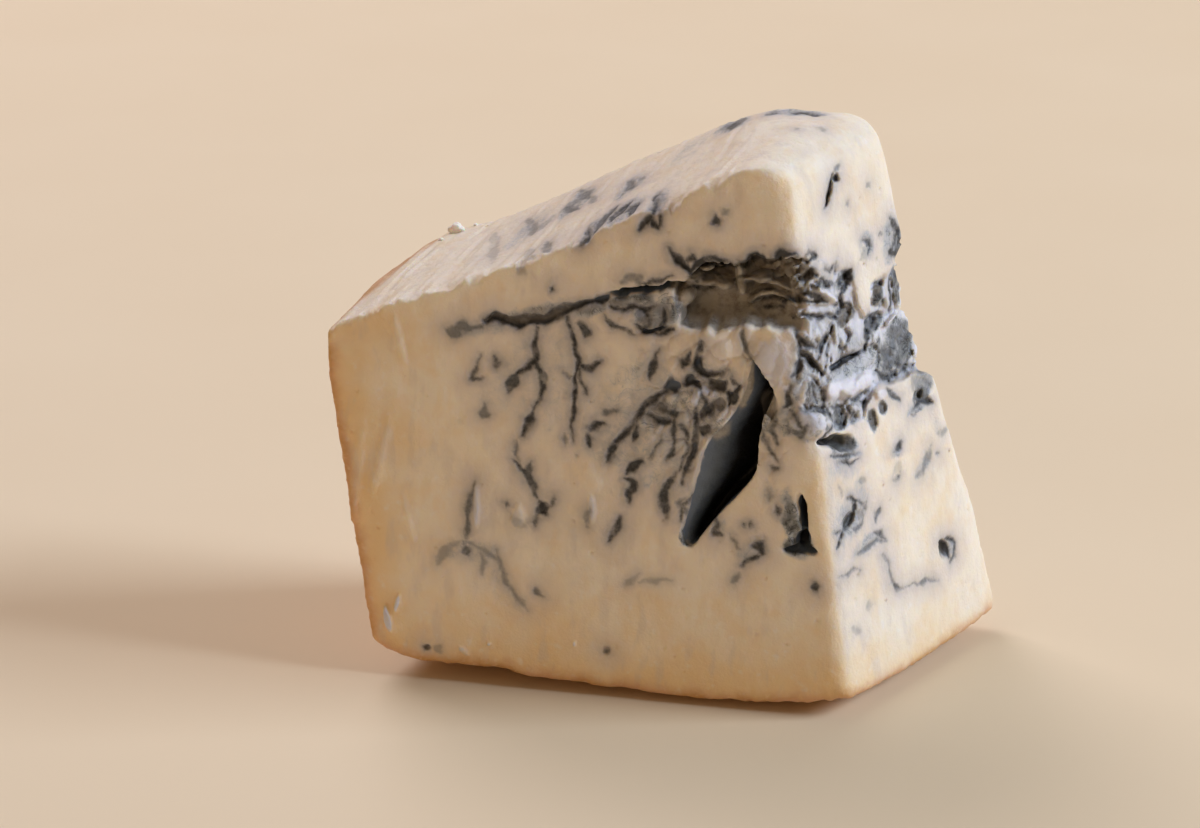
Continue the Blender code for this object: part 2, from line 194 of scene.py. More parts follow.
# Every vein is (half width, depth, darkness, points along it) in the mm of its own face.
# Front: X and Z.
FRONT_VEINS = (
    (0.38, 0.15, 0.70, ((-9.2, 40.6), (-8.2, 39.4), (-7.6, 38.0))),
    (0.34, 0.15, 0.65, ((-8.8, 37.7), (-7.8, 37.3), (-6.9, 38.6))),
    (0.30, 0.10, 0.60, ((-8.0, 41.2), (-6.9, 40.4))),
    (0.8, 0.10, 0.55, ((-56.8, 48.4), (-55.4, 48.2), (-53.6, 49.0), (-52.0, 49.3))),
    (0.62, 1.0, 1.0, ((-51.4, 50.0), (-49.9, 51.0), (-48.2, 50.1), (-46.8, 49.8), (-45.2, 50.7),
                      (-43.0, 50.9), (-41.4, 51.6), (-39.8, 52.7), (-38.2, 53.3), (-36.2, 53.6))),
    (0.45, 1.4, 1.0, ((-36.4, 53.6), (-34.6, 54.3))),
    (0.26, 0.45, 0.95, ((-39.8, 51.4), (-39.3, 49.0), (-38.7, 47.0), (-38.3, 45.3), (-38.8, 43.6),
                        (-38.9, 41.0), (-38.8, 38.2), (-39.1, 36.0), (-39.0, 33.8))),
    (0.42, 0.40, 0.95, ((-38.3, 45.0), (-37.4, 44.4), (-36.3, 44.5), (-35.3, 45.6))),
    (0.34, 0.25, 0.75, ((-38.3, 44.6), (-38.0, 43.0), (-37.3, 41.2))),
    (0.40, 0.30, 0.90, ((-38.9, 39.4), (-38.8, 37.8))),
    (0.30, 0.15, 0.50, ((-40.2, 35.0), (-40.2, 33.3))),
    (0.55, 0.30, 0.75, ((-38.0, 50.6), (-37.0, 49.6), (-37.4, 49.0))),
    (0.36, 0.50, 0.95, ((-44.2, 49.6), (-44.5, 47.4), (-44.2, 45.6), (-45.4, 44.1), (-46.8, 42.8))),
    (0.75, 0.30, 0.75, ((-46.8, 42.6), (-47.6, 41.6), (-47.9, 40.5))),
    (0.34, 0.35, 0.80, ((-44.3, 45.2), (-43.6, 43.6), (-43.3, 41.4), (-43.6, 39.6), (-44.5, 37.8))),
    (0.55, 0.25, 0.50, ((-43.4, 43.6), (-43.3, 41.8))),
    (0.44, 0.40, 0.95, ((-44.6, 37.6), (-45.3, 36.2), (-46.0, 34.0))),
    (0.24, 0.20, 0.65, ((-51.9, 45.0), (-52.4, 43.2), (-53.1, 41.8), (-51.6, 41.7))),
    (0.40, 0.25, 0.85, ((-49.8, 45.0), (-49.6, 43.8), (-49.0, 44.3))),
    (0.40, 0.20, 0.50, ((-51.3, 38.3), (-51.6, 37.0), (-50.9, 36.8))),
    (0.42, 0.15, 0.60, ((-52.9, 27.2), (-53.4, 24.4), (-53.5, 21.6), (-53.9, 18.6))),
    (0.70, 0.15, 0.60, ((-54.2, 17.6), (-53.8, 16.5))),
    (0.50, 0.05, 0.34, ((-58.2, 14.4), (-57.4, 16.2), (-56.0, 17.4), (-54.6, 18.0))),
    (0.34, 0.05, 0.40, ((-54.4, 18.2), (-52.6, 17.8), (-51.0, 16.9), (-49.6, 16.2))),
    (0.30, 0.05, 0.40, ((-52.0, 17.4), (-51.6, 15.6), (-51.5, 13.8))),
    (0.26, 0.12, 0.42, ((-49.8, 17.6), (-49.0, 15.0), (-48.0, 12.6), (-46.6, 10.5), (-45.2, 8.9))),
    (0.38, 0.30, 0.70, ((-47.4, 30.9), (-46.2, 29.4), (-45.2, 28.9), (-44.6, 27.2), (-43.8, 25.4))),
    (0.36, 0.20, 0.70, ((-44.8, 30.6), (-45.1, 28.8))),
    (0.95, 0.45, 0.90, ((-43.6, 24.6), (-42.6, 23.3))),
    (0.30, 0.20, 0.70, ((-41.6, 26.2), (-42.0, 24.4))),
    (0.36, 0.20, 0.70, ((-43.8, 23.0), (-44.3, 21.4))),
    (0.45, 0.20, 0.60, ((-48.4, 24.4), (-47.9, 24.3))),
    (0.40, 0.10, 0.24, ((-47.6, 22.8), (-46.4, 21.6), (-45.6, 21.0))),
    (0.62, 0.40, 0.90, ((-36.6, 36.0), (-35.8, 36.6), (-34.8, 36.9))),
    (0.36, 0.25, 0.80, ((-36.7, 35.2), (-36.5, 33.7))),
    (0.85, 0.9, 1.0, ((-24.6, 43.1), (-25.9, 42.6))),
    (0.46, 0.60, 0.95, ((-26.2, 42.1), (-27.6, 41.2), (-29.1, 39.9), (-30.0, 38.6), (-30.9, 36.7),
                        (-32.2, 35.1), (-33.1, 34.3))),
    (0.40, 0.35, 0.90, ((-33.2, 34.0), (-33.5, 32.6), (-34.2, 31.4))),
    (0.42, 0.35, 0.85, ((-30.0, 38.2), (-30.4, 36.4), (-30.6, 34.9))),
    (0.24, 0.30, 0.85, ((-27.4, 48.2), (-27.9, 46.4), (-28.3, 44.2), (-28.5, 43.4))),
    (0.26, 0.25, 0.80, ((-25.0, 38.2), (-25.0, 35.6), (-25.4, 33.6), (-26.0, 32.4))),
    (0.36, 0.30, 0.80, ((-24.5, 31.0), (-25.5, 29.3), (-26.3, 27.4), (-26.0, 25.2), (-25.8, 24.2))),
    (0.66, 0.45, 0.90, ((-31.2, 30.2), (-30.4, 31.2), (-29.2, 32.0))),
    (0.48, 0.40, 0.90, ((-31.5, 29.2), (-30.5, 29.0), (-30.6, 27.6), (-31.2, 26.0))),
    (0.46, 0.30, 0.90, ((-32.3, 23.8), (-32.8, 22.0), (-33.6, 19.8))),
    (0.34, 0.15, 0.45, ((-36.6, 24.8), (-36.9, 23.2), (-36.7, 21.8))),
    (0.40, 0.40, 0.85, ((-23.1, 47.7), (-23.9, 46.2), (-24.1, 45.7))),
    (0.42, 0.70, 0.90, ((-21.5, 49.4), (-22.0, 47.4), (-22.1, 45.4), (-20.6, 44.7), (-18.6, 45.3))),
    (0.50, 0.90, 1.0, ((-23.8, 43.4), (-22.8, 43.9), (-21.6, 42.8))),
    (0.60, 1.1, 1.0, ((-20.1, 43.9), (-19.0, 43.0), (-18.4, 44.0))),
    (0.65, 1.0, 1.0, ((-19.4, 41.2), (-20.4, 39.8), (-21.2, 38.6))),
    (0.36, 0.60, 0.90, ((-22.1, 40.0), (-21.8, 38.0), (-22.2, 35.4), (-22.8, 32.2), (-23.6, 29.3))),
    (0.36, 0.50, 0.85, ((-21.8, 37.4), (-20.8, 36.9), (-19.9, 37.8))),
    (0.42, 0.50, 0.85, ((-17.6, 42.6), (-17.0, 41.4), (-16.6, 42.2))),
    (0.28, 0.25, 0.90, ((-23.8, 32.7), (-23.5, 32.9))),
    (0.50, 0.20, 0.55, ((-23.2, 27.5), (-24.2, 26.4), (-23.0, 25.2))),
    (0.24, 0.55, 0.60, ((-16.0, 51.3), (-15.8, 49.6), (-15.2, 48.2), (-14.5, 47.2))),
    (0.50, 0.20, 0.40, ((-12.0, 29.6), (-11.8, 27.6))),
    (0.30, 0.25, 0.80, ((-10.6, 27.0), (-10.4, 26.0))),
    (0.18, 0.15, 0.80, ((-15.3, 24.0), (-15.1, 24.1))),
    (0.18, 0.15, 0.80, ((-14.3, 24.2), (-14.1, 24.1))),
    (0.30, 0.50, 0.70, ((-19.4, 25.4), (-18.8, 24.0), (-19.1, 22.7), (-18.2, 22.2))),
    (0.24, 0.20, 0.50, ((-17.0, 22.8), (-16.2, 21.6), (-15.8, 20.8))),
    (0.62, 0.50, 0.85, ((-13.9, 21.2), (-12.9, 21.4), (-12.4, 20.2))),
    (0.32, 0.20, 0.80, ((-12.9, 19.9), (-14.1, 19.3), (-15.2, 18.2))),
    (0.32, 0.10, 0.45, ((-15.8, 17.2), (-16.4, 15.6))),
    (0.45, 0.30, 0.75, ((-5.2, 16.8), (-4.9, 15.7))),
    (0.36, 0.08, 0.38, ((-31.3, 13.9), (-30.2, 15.1), (-29.6, 15.8))),
    (0.26, 0.05, 0.30, ((-29.2, 14.6), (-27.0, 15.0), (-24.8, 15.3))),
    (0.46, 0.25, 0.75, ((-20.2, 66.5), (-19.7, 65.7))),
    (0.32, 0.05, 0.40, ((-19.3, 66.9), (-18.4, 67.6))),
    (0.40, 0.25, 0.75, ((-41.8, 55.5), (-42.0, 55.0))),
    (0.50, 0.45, 0.90, ((-30.4, 64.0), (-29.4, 65.0), (-28.8, 65.9), (-28.4, 65.0), (-27.8, 64.6))),
    (0.38, 0.35, 0.90, ((-27.6, 65.0), (-27.3, 67.2), (-26.3, 68.4), (-25.3, 69.2))),
    (0.52, 0.35, 0.85, ((-37.8, 63.0), (-38.4, 61.4))),
    (0.26, 0.15, 0.60, ((-36.4, 64.3), (-35.2, 65.0))),
    (0.60, 0.10, 0.50, ((-32.5, 56.8), (-31.4, 57.4), (-30.2, 57.6), (-30.3, 56.4))),
    (0.60, 0.10, 0.22, ((-47.0, 57.8), (-46.0, 57.2))),
    # Dark lines along the crack's upper lip and inside it: partly mould, partly painted shade under the lip
    # and in the grooves.
    (0.42, 0.60, 1.0, ((-26.4, 61.6), (-25.6, 60.7), (-24.4, 60.0), (-23.4, 58.8))),
    (0.50, 0.35, 1.0, ((-23.4, 58.6), (-22.6, 59.8), (-21.4, 60.6), (-19.6, 60.4), (-18.0, 60.5))),
    (0.36, 0.35, 1.0, ((-18.0, 60.4), (-16.2, 60.4), (-15.2, 61.6), (-14.4, 61.9), (-13.4, 61.0))),
    (0.46, 0.35, 1.0, ((-13.4, 61.0), (-12.0, 61.2), (-11.0, 62.0), (-9.4, 62.1), (-8.2, 61.4))),
    (0.26, 0.25, 0.85, ((-23.9, 60.4), (-23.2, 61.0), (-22.4, 60.5))),
    (0.20, 0.2, 1.0, ((-15.4, 54.9), (-14.2, 55.9), (-12.7, 56.3), (-11.4, 56.0), (-10.6, 55.3))),
    (0.24, 0.2, 1.0, ((-13.6, 55.0), (-12.4, 55.2), (-11.2, 54.9), (-9.8, 54.2), (-8.6, 54.0))),
    (0.16, 0.2, 0.9, ((-15.2, 56.4), (-13.6, 57.3), (-11.9, 57.4), (-10.3, 56.4), (-9.2, 55.9))),
    (0.20, 0.2, 0.9, ((-17.4, 58.3), (-15.7, 58.9), (-13.8, 58.6), (-12.2, 58.9), (-10.8, 57.8))),
    (0.22, 0.2, 0.9, ((-10.0, 58.8), (-8.8, 57.6), (-7.2, 56.7), (-5.4, 55.6))),
    (0.18, 0.2, 0.8, ((-24.6, 56.0), (-23.2, 57.1), (-21.6, 56.7), (-20.4, 57.4))),
    (0.18, 0.2, 0.8, ((-23.6, 58.2), (-22.4, 57.7), (-21.2, 58.6))),
    (0.40, 0.50, 0.95, ((-9.0, 51.6), (-8.3, 49.8), (-8.2, 47.8), (-8.4, 46.2), (-9.2, 45.4))),
    (0.30, 0.30, 0.80, ((-9.4, 44.4), (-9.8, 43.0), (-9.4, 41.8), (-10.2, 41.2))),
    (0.24, 0.30, 0.60, ((-13.2, 38.4), (-12.6, 36.6), (-11.6, 34.4), (-10.8, 33.0))),
    (0.26, 0.30, 0.70, ((-11.2, 40.6), (-11.6, 38.2), (-11.0, 36.0))),
    (0.34, 0.30, 0.80, ((-12.0, 32.8), (-11.4, 32.4), (-10.8, 32.6))),
    (0.30, 0.30, 0.75, ((-27.4, 40.4), (-26.2, 39.2), (-24.8, 38.8), (-23.6, 39.4))),
    (0.34, 0.40, 0.80, ((-28.6, 38.8), (-27.0, 37.8), (-25.4, 38.0))),
    (0.26, 0.30, 0.80, ((-21.4, 42.4), (-20.6, 41.0), (-20.8, 39.4))),
    (0.30, 0.35, 0.85, ((-17.4, 44.6), (-16.4, 43.6), (-16.8, 42.0), (-17.8, 40.6))),
    (0.24, 0.25, 0.75, ((-24.2, 37.6), (-23.4, 36.2), (-23.2, 34.0), (-24.0, 31.0))),
    (0.22, 0.20, 0.60, ((-26.8, 35.8), (-27.4, 34.0), (-28.2, 32.4))),
    (0.36, 0.20, 0.70, ((-22.4, 27.8), (-23.6, 26.0), (-23.8, 24.0))),
    (0.22, 0.15, 0.55, ((-46.8, 33.4), (-47.0, 31.8), (-46.4, 30.6))),
    (0.30, 0.15, 0.60, ((-34.9, 38.8), (-34.0, 38.2), (-33.0, 38.8))),
    (0.24, 0.15, 0.60, ((-40.4, 43.6), (-39.6, 43.0), (-38.9, 43.4))),
    (0.30, 0.30, 0.8, ((-30.4, 57.0), (-29.2, 56.6), (-27.4, 57.4), (-25.6, 58.1))),
    (0.34, 0.50, 0.9, ((-34.0, 53.3), (-32.4, 52.8), (-31.0, 53.4), (-29.4, 52.9), (-28.0, 53.8))),
    (0.30, 0.50, 0.9, ((-30.8, 51.2), (-29.6, 50.2), (-27.4, 50.0), (-25.6, 50.6))),
    (0.26, 0.40, 0.8, ((-29.2, 52.8), (-28.8, 51.4), (-29.6, 50.2))),
    (0.26, 0.40, 0.8, ((-27.0, 53.6), (-26.6, 52.2), (-27.2, 50.6))),
    (0.26, 0.30, 0.7, ((-34.8, 51.8), (-33.4, 50.6), (-31.8, 50.4), (-30.8, 49.6))),
    (0.45, 0.30, 0.55, ((-59.8, 2.0), (-59.4, 1.8))),
    (0.55, 0.10, 0.30, ((-58.6, 2.4), (-57.6, 1.6))),
    (0.40, 0.35, 0.50, ((-33.9, 4.2), (-33.6, 3.8))),
    (0.28, 0.30, 0.50, ((-43.9, 12.4), (-43.7, 11.7), (-42.9, 11.0))),
)

# Right side: Y and Z. In the torn band many of these dark lines are partly mould and partly painted shade in
# its creases.
RIGHT_VEINS = (
    (0.30, 1.1, 0.95, ((10.6, 66.5), (11.3, 67.9), (12.2, 69.3), (13.2, 70.6))),
    (0.40, 0.8, 0.80, ((13.2, 70.2), (14.0, 69.6))),
    (0.26, 0.2, 0.50, ((13.4, 70.9), (14.6, 71.3))),
    (0.32, 0.10, 0.45, ((15.0, 66.3), (15.2, 65.8))),
    (0.36, 0.10, 0.35, ((19.9, 67.6), (20.2, 67.0))),
    (0.46, 0.05, 0.90, ((23.6, 61.9), (24.0, 60.8), (24.6, 59.8), (23.8, 58.6), (22.6, 57.4))),
    (0.46, 0.05, 0.90, ((24.8, 59.4), (24.7, 57.8), (23.6, 56.7), (22.5, 57.2))),
    (0.38, 0.30, 0.75, ((17.3, 60.6), (18.2, 60.0), (18.4, 59.2), (17.9, 58.3))),
    (1.20, 0.0, 0.25, ((17.0, 59.2), (17.4, 58.2))),
    (0.36, 0.15, 0.60, ((21.0, 60.6), (21.2, 60.4))),
    (0.22, 0.30, 0.85, ((3.0, 62.0), (4.2, 61.6), (5.4, 60.8), (7.2, 61.2), (6.2, 61.9), (5.2, 61.8))),
    (0.30, 0.50, 0.95, ((2.4, 60.6), (3.0, 59.2), (4.6, 58.9), (6.0, 59.4), (7.0, 58.4))),
    (0.28, 0.40, 0.90, ((5.4, 57.4), (6.6, 56.8), (7.6, 57.4), (8.6, 56.4), (9.6, 56.8))),
    (0.24, 0.30, 0.80, ((8.8, 58.8), (9.8, 58.2), (10.6, 58.9), (11.2, 58.4))),
    (0.30, 0.50, 0.90, ((9.6, 53.3), (11.0, 53.9), (11.3, 52.8), (12.6, 53.0), (13.2, 51.6))),
    (0.36, 0.50, 0.95, ((-2.4, 57.3), (0.4, 57.0), (2.8, 56.6), (4.6, 55.8), (6.6, 55.0))),
    (0.34, 0.60, 0.90, ((1.6, 54.4), (3.4, 54.0), (5.4, 53.0), (7.6, 52.6), (9.4, 52.0))),
    (0.42, 0.70, 0.95, ((0.8, 53.0), (1.7, 51.4), (3.0, 50.0), (4.4, 49.2))),
    (0.44, 0.80, 0.95, ((1.5, 51.4), (1.7, 49.6), (2.6, 48.3), (4.0, 46.7), (5.2, 45.5))),
    (0.30, 0.60, 0.85, ((4.5, 47.4), (5.6, 48.7), (6.8, 49.9), (8.4, 51.0))),
    (0.20, 0.40, 0.75, ((5.5, 45.4), (6.2, 47.0), (7.3, 48.9))),
    (0.18, 0.40, 0.65, ((6.7, 45.7), (7.6, 47.4))),
    (0.20, 0.30, 0.55, ((9.0, 47.0), (10.6, 47.8), (12.6, 48.8))),
    (0.45, 0.80, 1.0, ((1.3, 49.4), (1.0, 47.8), (0.2, 46.6), (-0.6, 46.2))),
    (0.24, 0.30, 0.80, ((1.2, 43.8), (2.6, 44.8), (2.9, 43.4), (3.2, 41.6))),
    (0.22, 0.30, 0.80, ((3.8, 44.8), (4.6, 43.0), (4.4, 41.2))),
    (0.26, 0.30, 0.80, ((0.2, 43.0), (1.0, 42.0), (2.4, 41.2), (4.0, 40.9))),
    (0.26, 0.30, 0.70, ((6.0, 40.3), (8.0, 39.8), (9.6, 40.4), (11.2, 39.6), (12.8, 40.2), (14.0, 39.9))),
    (0.30, 0.30, 0.80, ((8.9, 39.6), (9.6, 38.2), (10.2, 37.0))),
    (0.26, 0.30, 0.70, ((11.4, 39.4), (12.4, 38.6), (13.6, 38.9))),
    (0.60, 0.15, 0.60, ((17.6, 44.6), (18.6, 43.6), (19.8, 43.2))),
    (0.40, 0.10, 0.45, ((20.6, 46.4), (22.0, 45.4), (23.4, 46.2))),
    (0.30, 0.50, 0.85, ((21.0, 49.8), (21.6, 50.8), (21.2, 52.4), (21.9, 54.2))),
    (0.34, 0.40, 0.85, ((16.6, 50.2), (17.2, 49.4), (16.4, 48.6))),
    (0.24, 0.30, 0.80, ((11.2, 59.2), (10.7, 58.6), (10.5, 57.6))),
    (0.36, 0.45, 0.90, ((-3.4, 39.7), (-2.2, 38.4), (0.2, 37.3), (3.0, 36.9), (5.2, 37.9))),
    (0.30, 0.35, 0.75, ((-3.0, 41.3), (-0.6, 41.8), (2.2, 41.0), (4.6, 40.2), (5.6, 38.6))),
    (0.40, 0.20, 0.75, ((-2.8, 40.0), (-1.4, 39.2), (-0.6, 38.0))),
    (0.38, 0.20, 0.70, ((0.6, 40.6), (1.6, 39.6), (2.8, 39.0), (4.2, 39.4))),
    (0.34, 0.15, 0.65, ((-1.8, 41.2), (-0.4, 40.4), (0.4, 39.2))),
    (0.45, 0.15, 0.60, ((3.2, 38.2), (4.6, 37.9))), (0.30, 0.10, 0.60, ((3.4, 40.4), (4.8, 39.9))),
    (0.58, 0.60, 0.85, ((13.9, 57.1), (12.8, 57.2), (12.0, 56.4), (11.0, 56.0))),
    (0.58, 0.60, 0.85, ((13.2, 56.2), (12.4, 55.4), (11.3, 54.8))),
    (0.30, 0.30, 0.80, ((7.8, 56.4), (8.8, 56.9), (9.6, 56.6))),
    (0.34, 0.45, 0.90, ((2.6, 60.0), (3.8, 59.1), (5.6, 58.9))),
    (0.32, 0.20, 0.75, ((3.0, 58.4), (4.0, 57.3), (5.6, 56.2), (7.0, 55.2), (8.2, 54.5))),
    (0.38, 0.60, 0.95, ((6.8, 45.0), (8.4, 45.5), (10.2, 46.2), (12.2, 45.8), (14.4, 45.9))),
    (0.40, 0.60, 0.85, ((14.6, 46.0), (15.2, 47.2), (15.1, 48.6))),
    (0.45, 0.50, 0.80, ((16.2, 42.1), (17.0, 41.0), (18.6, 40.4), (20.2, 40.3))),
    (0.32, 0.30, 0.60, ((20.8, 40.2), (22.4, 40.8), (24.4, 40.6))),
    (0.26, 0.30, 0.75, ((17.6, 39.0), (18.6, 37.8), (19.8, 36.9))),
    (0.80, 1.0, 1.0, ((24.0, 36.4), (24.6, 35.8))),
    (0.45, 0.50, 0.90, ((22.9, 34.7), (24.2, 35.4), (25.6, 34.9), (26.8, 34.3))),
    (0.26, 0.20, 0.60, ((21.6, 34.2), (22.2, 33.8), (23.2, 34.0))),
    (1.9, 0.0, 0.34, ((25.4, 36.0), (25.0, 38.2), (26.0, 39.6))),
    (0.42, 0.25, 0.80, ((17.2, 30.2), (18.0, 30.3), (18.7, 31.0))),
    (0.36, 0.15, 0.60, ((16.3, 26.3), (17.6, 26.7))),
    (1.1, 0.0, 0.16, ((16.6, 27.6), (18.0, 27.8))),
    (0.60, 0.15, 0.45, ((20.9, 25.4), (22.2, 25.4), (23.6, 26.4), (24.8, 28.4))),
    (0.40, 0.10, 0.36, ((26.8, 29.6), (28.0, 29.4), (29.6, 29.7))),
    (0.36, 0.20, 0.60, ((26.1, 26.9), (26.4, 26.8))),
    (0.85, 0.90, 1.0, ((4.2, 23.4), (5.4, 24.2), (6.7, 24.6))),
    (0.26, 0.30, 0.90, ((5.2, 32.9), (6.4, 32.1), (8.0, 31.7), (9.6, 31.9))),
    (0.30, 0.30, 0.80, ((4.0, 34.0), (5.6, 33.6), (7.4, 33.0), (9.4, 32.8))),
    (0.20, 0.15, 0.60, ((6.8, 24.2), (8.0, 24.0), (9.2, 24.6), (9.8, 25.6))),
    (0.20, 0.15, 0.60, ((5.6, 23.2), (6.8, 22.6), (8.2, 23.0), (9.0, 24.0))),
    (0.22, 0.15, 0.70, ((7.0, 26.4), (8.2, 26.2), (9.4, 25.2))),
    (0.30, 0.50, 0.95, ((2.4, 21.4), (3.4, 22.6), (4.2, 23.4))),
    (0.34, 0.40, 0.90, ((6.4, 24.6), (7.4, 25.4), (7.6, 26.2))),
    (0.24, 0.25, 0.75, ((2.2, 23.5), (3.6, 23.3))),
    (0.28, 0.30, 0.80, ((5.8, 27.2), (7.0, 26.9), (8.4, 26.1))),
    (0.36, 0.25, 0.55, ((8.6, 26.0), (8.9, 24.8), (8.0, 23.8))),
    (0.40, 0.25, 0.62, ((12.2, 23.7), (11.5, 23.2), (11.0, 22.0))),
    (0.30, 0.20, 0.55, ((6.0, 19.3), (8.2, 19.3), (10.4, 19.5), (12.6, 18.8))),
    (0.34, 0.20, 0.70, ((10.1, 20.6), (11.4, 20.1), (12.4, 19.2))),
    (0.22, 0.12, 0.50, ((1.0, 17.1), (2.2, 17.4), (3.9, 17.0), (5.2, 17.6), (6.2, 16.6))),
    (0.26, 0.15, 0.62, ((11.3, 17.2), (12.2, 15.4), (12.3, 12.9), (13.4, 11.6))),
    (0.28, 0.18, 0.65, ((12.5, 12.4), (13.2, 11.6), (14.6, 11.0))),
    (0.25, 0.14, 0.55, ((14.2, 11.1), (17.6, 10.4), (20.2, 10.0), (22.4, 9.1))),
    (0.45, 0.4, 1.0, ((23.9, 14.6), (24.9, 13.4), (25.5, 11.6))),
    (0.26, 0.3, 0.9, ((25.2, 14.5), (26.4, 13.9), (27.2, 12.9))),
    (0.24, 0.2, 0.7, ((27.2, 12.9), (26.8, 11.4), (25.6, 10.7))),
    (0.60, 0.05, 0.24, ((6.4, 11.4), (7.6, 11.3))),
    (0.45, 0.05, 0.24, ((3.0, 9.8), (4.6, 8.4))),
    (0.20, 0.10, 0.35, ((4.7, 29.8), (4.8, 27.8))),
    (0.35, 0.10, 0.35, ((8.9, 28.7), (9.9, 28.4))),
    (0.60, 0.30, 0.45, ((7.6, 24.6), (8.4, 23.8))),
)

# Top cut: X and Y.
TOP_VEINS = (
    (0.55, 0.10, 0.45, ((-49.9, 23.0), (-48.6, 19.0), (-47.4, 15.0))),
    (0.50, 0.10, 0.35, ((-45.4, 19.0), (-46.6, 15.6))),
    (0.85, 0.15, 0.55, ((-43.0, 25.5), (-41.6, 22.0), (-40.4, 19.6))),
    (0.60, 0.15, 0.60, ((-44.0, 20.4), (-42.6, 18.2), (-41.4, 17.2))),
    (0.45, 0.10, 0.45, ((-40.0, 19.6), (-39.2, 16.6))),
    (0.62, 0.20, 0.60, ((-34.6, 19.0), (-34.2, 16.4), (-33.4, 15.6))),
    (0.45, 0.15, 0.50, ((-33.0, 18.6), (-32.4, 17.4))),
    (0.70, 0.35, 0.80, ((-36.4, 5.4), (-35.9, 8.0), (-34.8, 10.6))),
    (0.70, 0.45, 0.95, ((-34.6, 6.2), (-33.6, 8.2), (-32.6, 9.4))),
    (0.60, 0.40, 0.90, ((-33.0, 7.2), (-31.9, 7.6), (-31.4, 5.2))),
    (0.42, 0.30, 0.80, ((-28.9, 9.0), (-28.5, 6.0), (-27.8, 3.4))),
    (0.42, 0.30, 0.85, ((-37.8, 7.4), (-37.4, 5.0), (-37.0, 3.0))),
    (0.46, 0.15, 0.50, ((-44.2, 9.0), (-43.2, 6.0), (-42.2, 3.0))),
    (0.70, 0.05, 0.25, ((-46.4, 9.0), (-45.2, 4.0))),
    (0.70, 0.05, 0.22, ((-54.6, 22.0), (-53.0, 15.0), (-51.4, 8.0))),
    (0.80, 0.25, 0.80, ((-21.4, 26.8), (-21.2, 23.4))),
    (0.60, 0.20, 0.75, ((-16.4, 26.0), (-16.0, 24.6))),
    (0.50, 0.20, 0.75, ((-13.4, 25.0), (-11.4, 25.4), (-9.8, 24.2))),
    (0.30, 0.20, 0.80, ((-6.5, 12.3), (-6.1, 11.8))),
    (0.26, 0.15, 0.50, ((-8.0, 10.4), (-7.6, 9.6))),
    (0.26, 0.10, 0.40, ((-12.0, 18.0), (-11.4, 17.4))),
    (0.24, 0.10, 0.40, ((-8.5, 20.0), (-8.3, 18.8))),
)


# How far from a vein its edge is worked out, the most that counts inside it, the width taken off.
VEIN_REACH, VEIN_INSIDE_MOST, VEIN_TRIM = 4.0, 3.0, 0.02
NO_VEIN = -9.0
# Random veins: half width, steps and step length from and to, then lean and turn.
HALF_RANGE, STEP_COUNT, STEP_RANGE = (0.22, 0.9), (1, 8), (1.0, 2.4)
GROOVE_RANGE, DARK_RANGE = (0.1, 0.6), (0.4, 1.0)
LEAN_SPREAD, TURN_SPREAD = 24.0, 0.45


def vein_fields(u, v, veins):
    """Edge distance in mm (positive inside), darkness and groove depth of a set of veins."""
    shape = np.broadcast(u, v).shape
    edge = np.full(shape, NO_VEIN, np.float32)
    dark = np.zeros(shape, np.float32)
    groove = np.zeros(shape, np.float32)
    wobble_u = u + 0.26 * noise((u, v), 1.3, 71) + 0.09 * noise((u, v), 0.5, 72)
    wobble_v = v + 0.26 * noise((u, v), 1.3, 73) + 0.09 * noise((u, v), 0.5, 74)
    swell = 1.0 + 0.35 * noise((u, v), 1.6, 75)
    for half, deep, darkness, points in veins:
        reach = VEIN_REACH + half
        points = np.array(points, np.float32)
        low, high = points.min(0) - reach, points.max(0) + reach
        near = np.nonzero((wobble_u > low[0]) & (wobble_u < high[0])
                          & (wobble_v > low[1]) & (wobble_v < high[1]))
        if not len(near[0]):
            continue
        pu, pv = wobble_u[near], wobble_v[near]
        inside = np.full(pu.shape, NO_VEIN, np.float32)
        wide = half * swell[near]
        legs = len(points) - 1
        for leg, (start, end) in enumerate(zip(points, points[1:])):
            run = end - start
            share = ((pu - start[0]) * run[0] + (pv - start[1]) * run[1]) / (run @ run)
            share = np.clip(share, 0.0, 1.0)
            away = np.hypot(pu - start[0] - share * run[0], pv - start[1] - share * run[1])
            taper = 0.35 + 0.75 * np.sqrt(bell(2.0 * (leg + share) / legs - 1.0))
            inside = np.maximum(inside, wide * taper - away - VEIN_TRIM)
        groove[near] = np.maximum(groove[near], deep * ease(0.5 + inside / (0.9 * half + 0.25)))
        closer = inside > edge[near]
        dark[near] = np.where(closer, darkness, dark[near])
        edge[near] = np.maximum(edge[near], inside)
    return edge, dark, groove


def random_veins(seed, count, middle, spread, keep):
    """Veins for a side that is not seen, like those that are."""
    draw = np.random.default_rng(seed)
    veins = []
    while len(veins) < count:
        place = np.array(middle) + draw.normal(size=2) * np.array(spread)
        heading = math.radians(90.0 + draw.normal() * LEAN_SPREAD)
        half = draw.uniform(*HALF_RANGE)
        points = [tuple(place)]
        for _ in range(draw.integers(*STEP_COUNT)):
            heading += draw.normal() * TURN_SPREAD
            place = place + draw.uniform(*STEP_RANGE) * np.array([math.cos(heading),
                                                                 math.sin(heading)])
            points.append(tuple(place))
        if all(keep(*point) for point in points):
            groove, darkness = draw.uniform(*GROOVE_RANGE), draw.uniform(*DARK_RANGE)
            veins.append((half, groove, darkness, tuple(points)))
    return tuple(veins)


def on_back(x, z):
    """Whether a place is on the paste of the back, clear of its rind and of the knife cut."""
    return -60.0 < x < 8.0 and 8.0 < z < 50.0 + 0.42 * (x + 64.0)


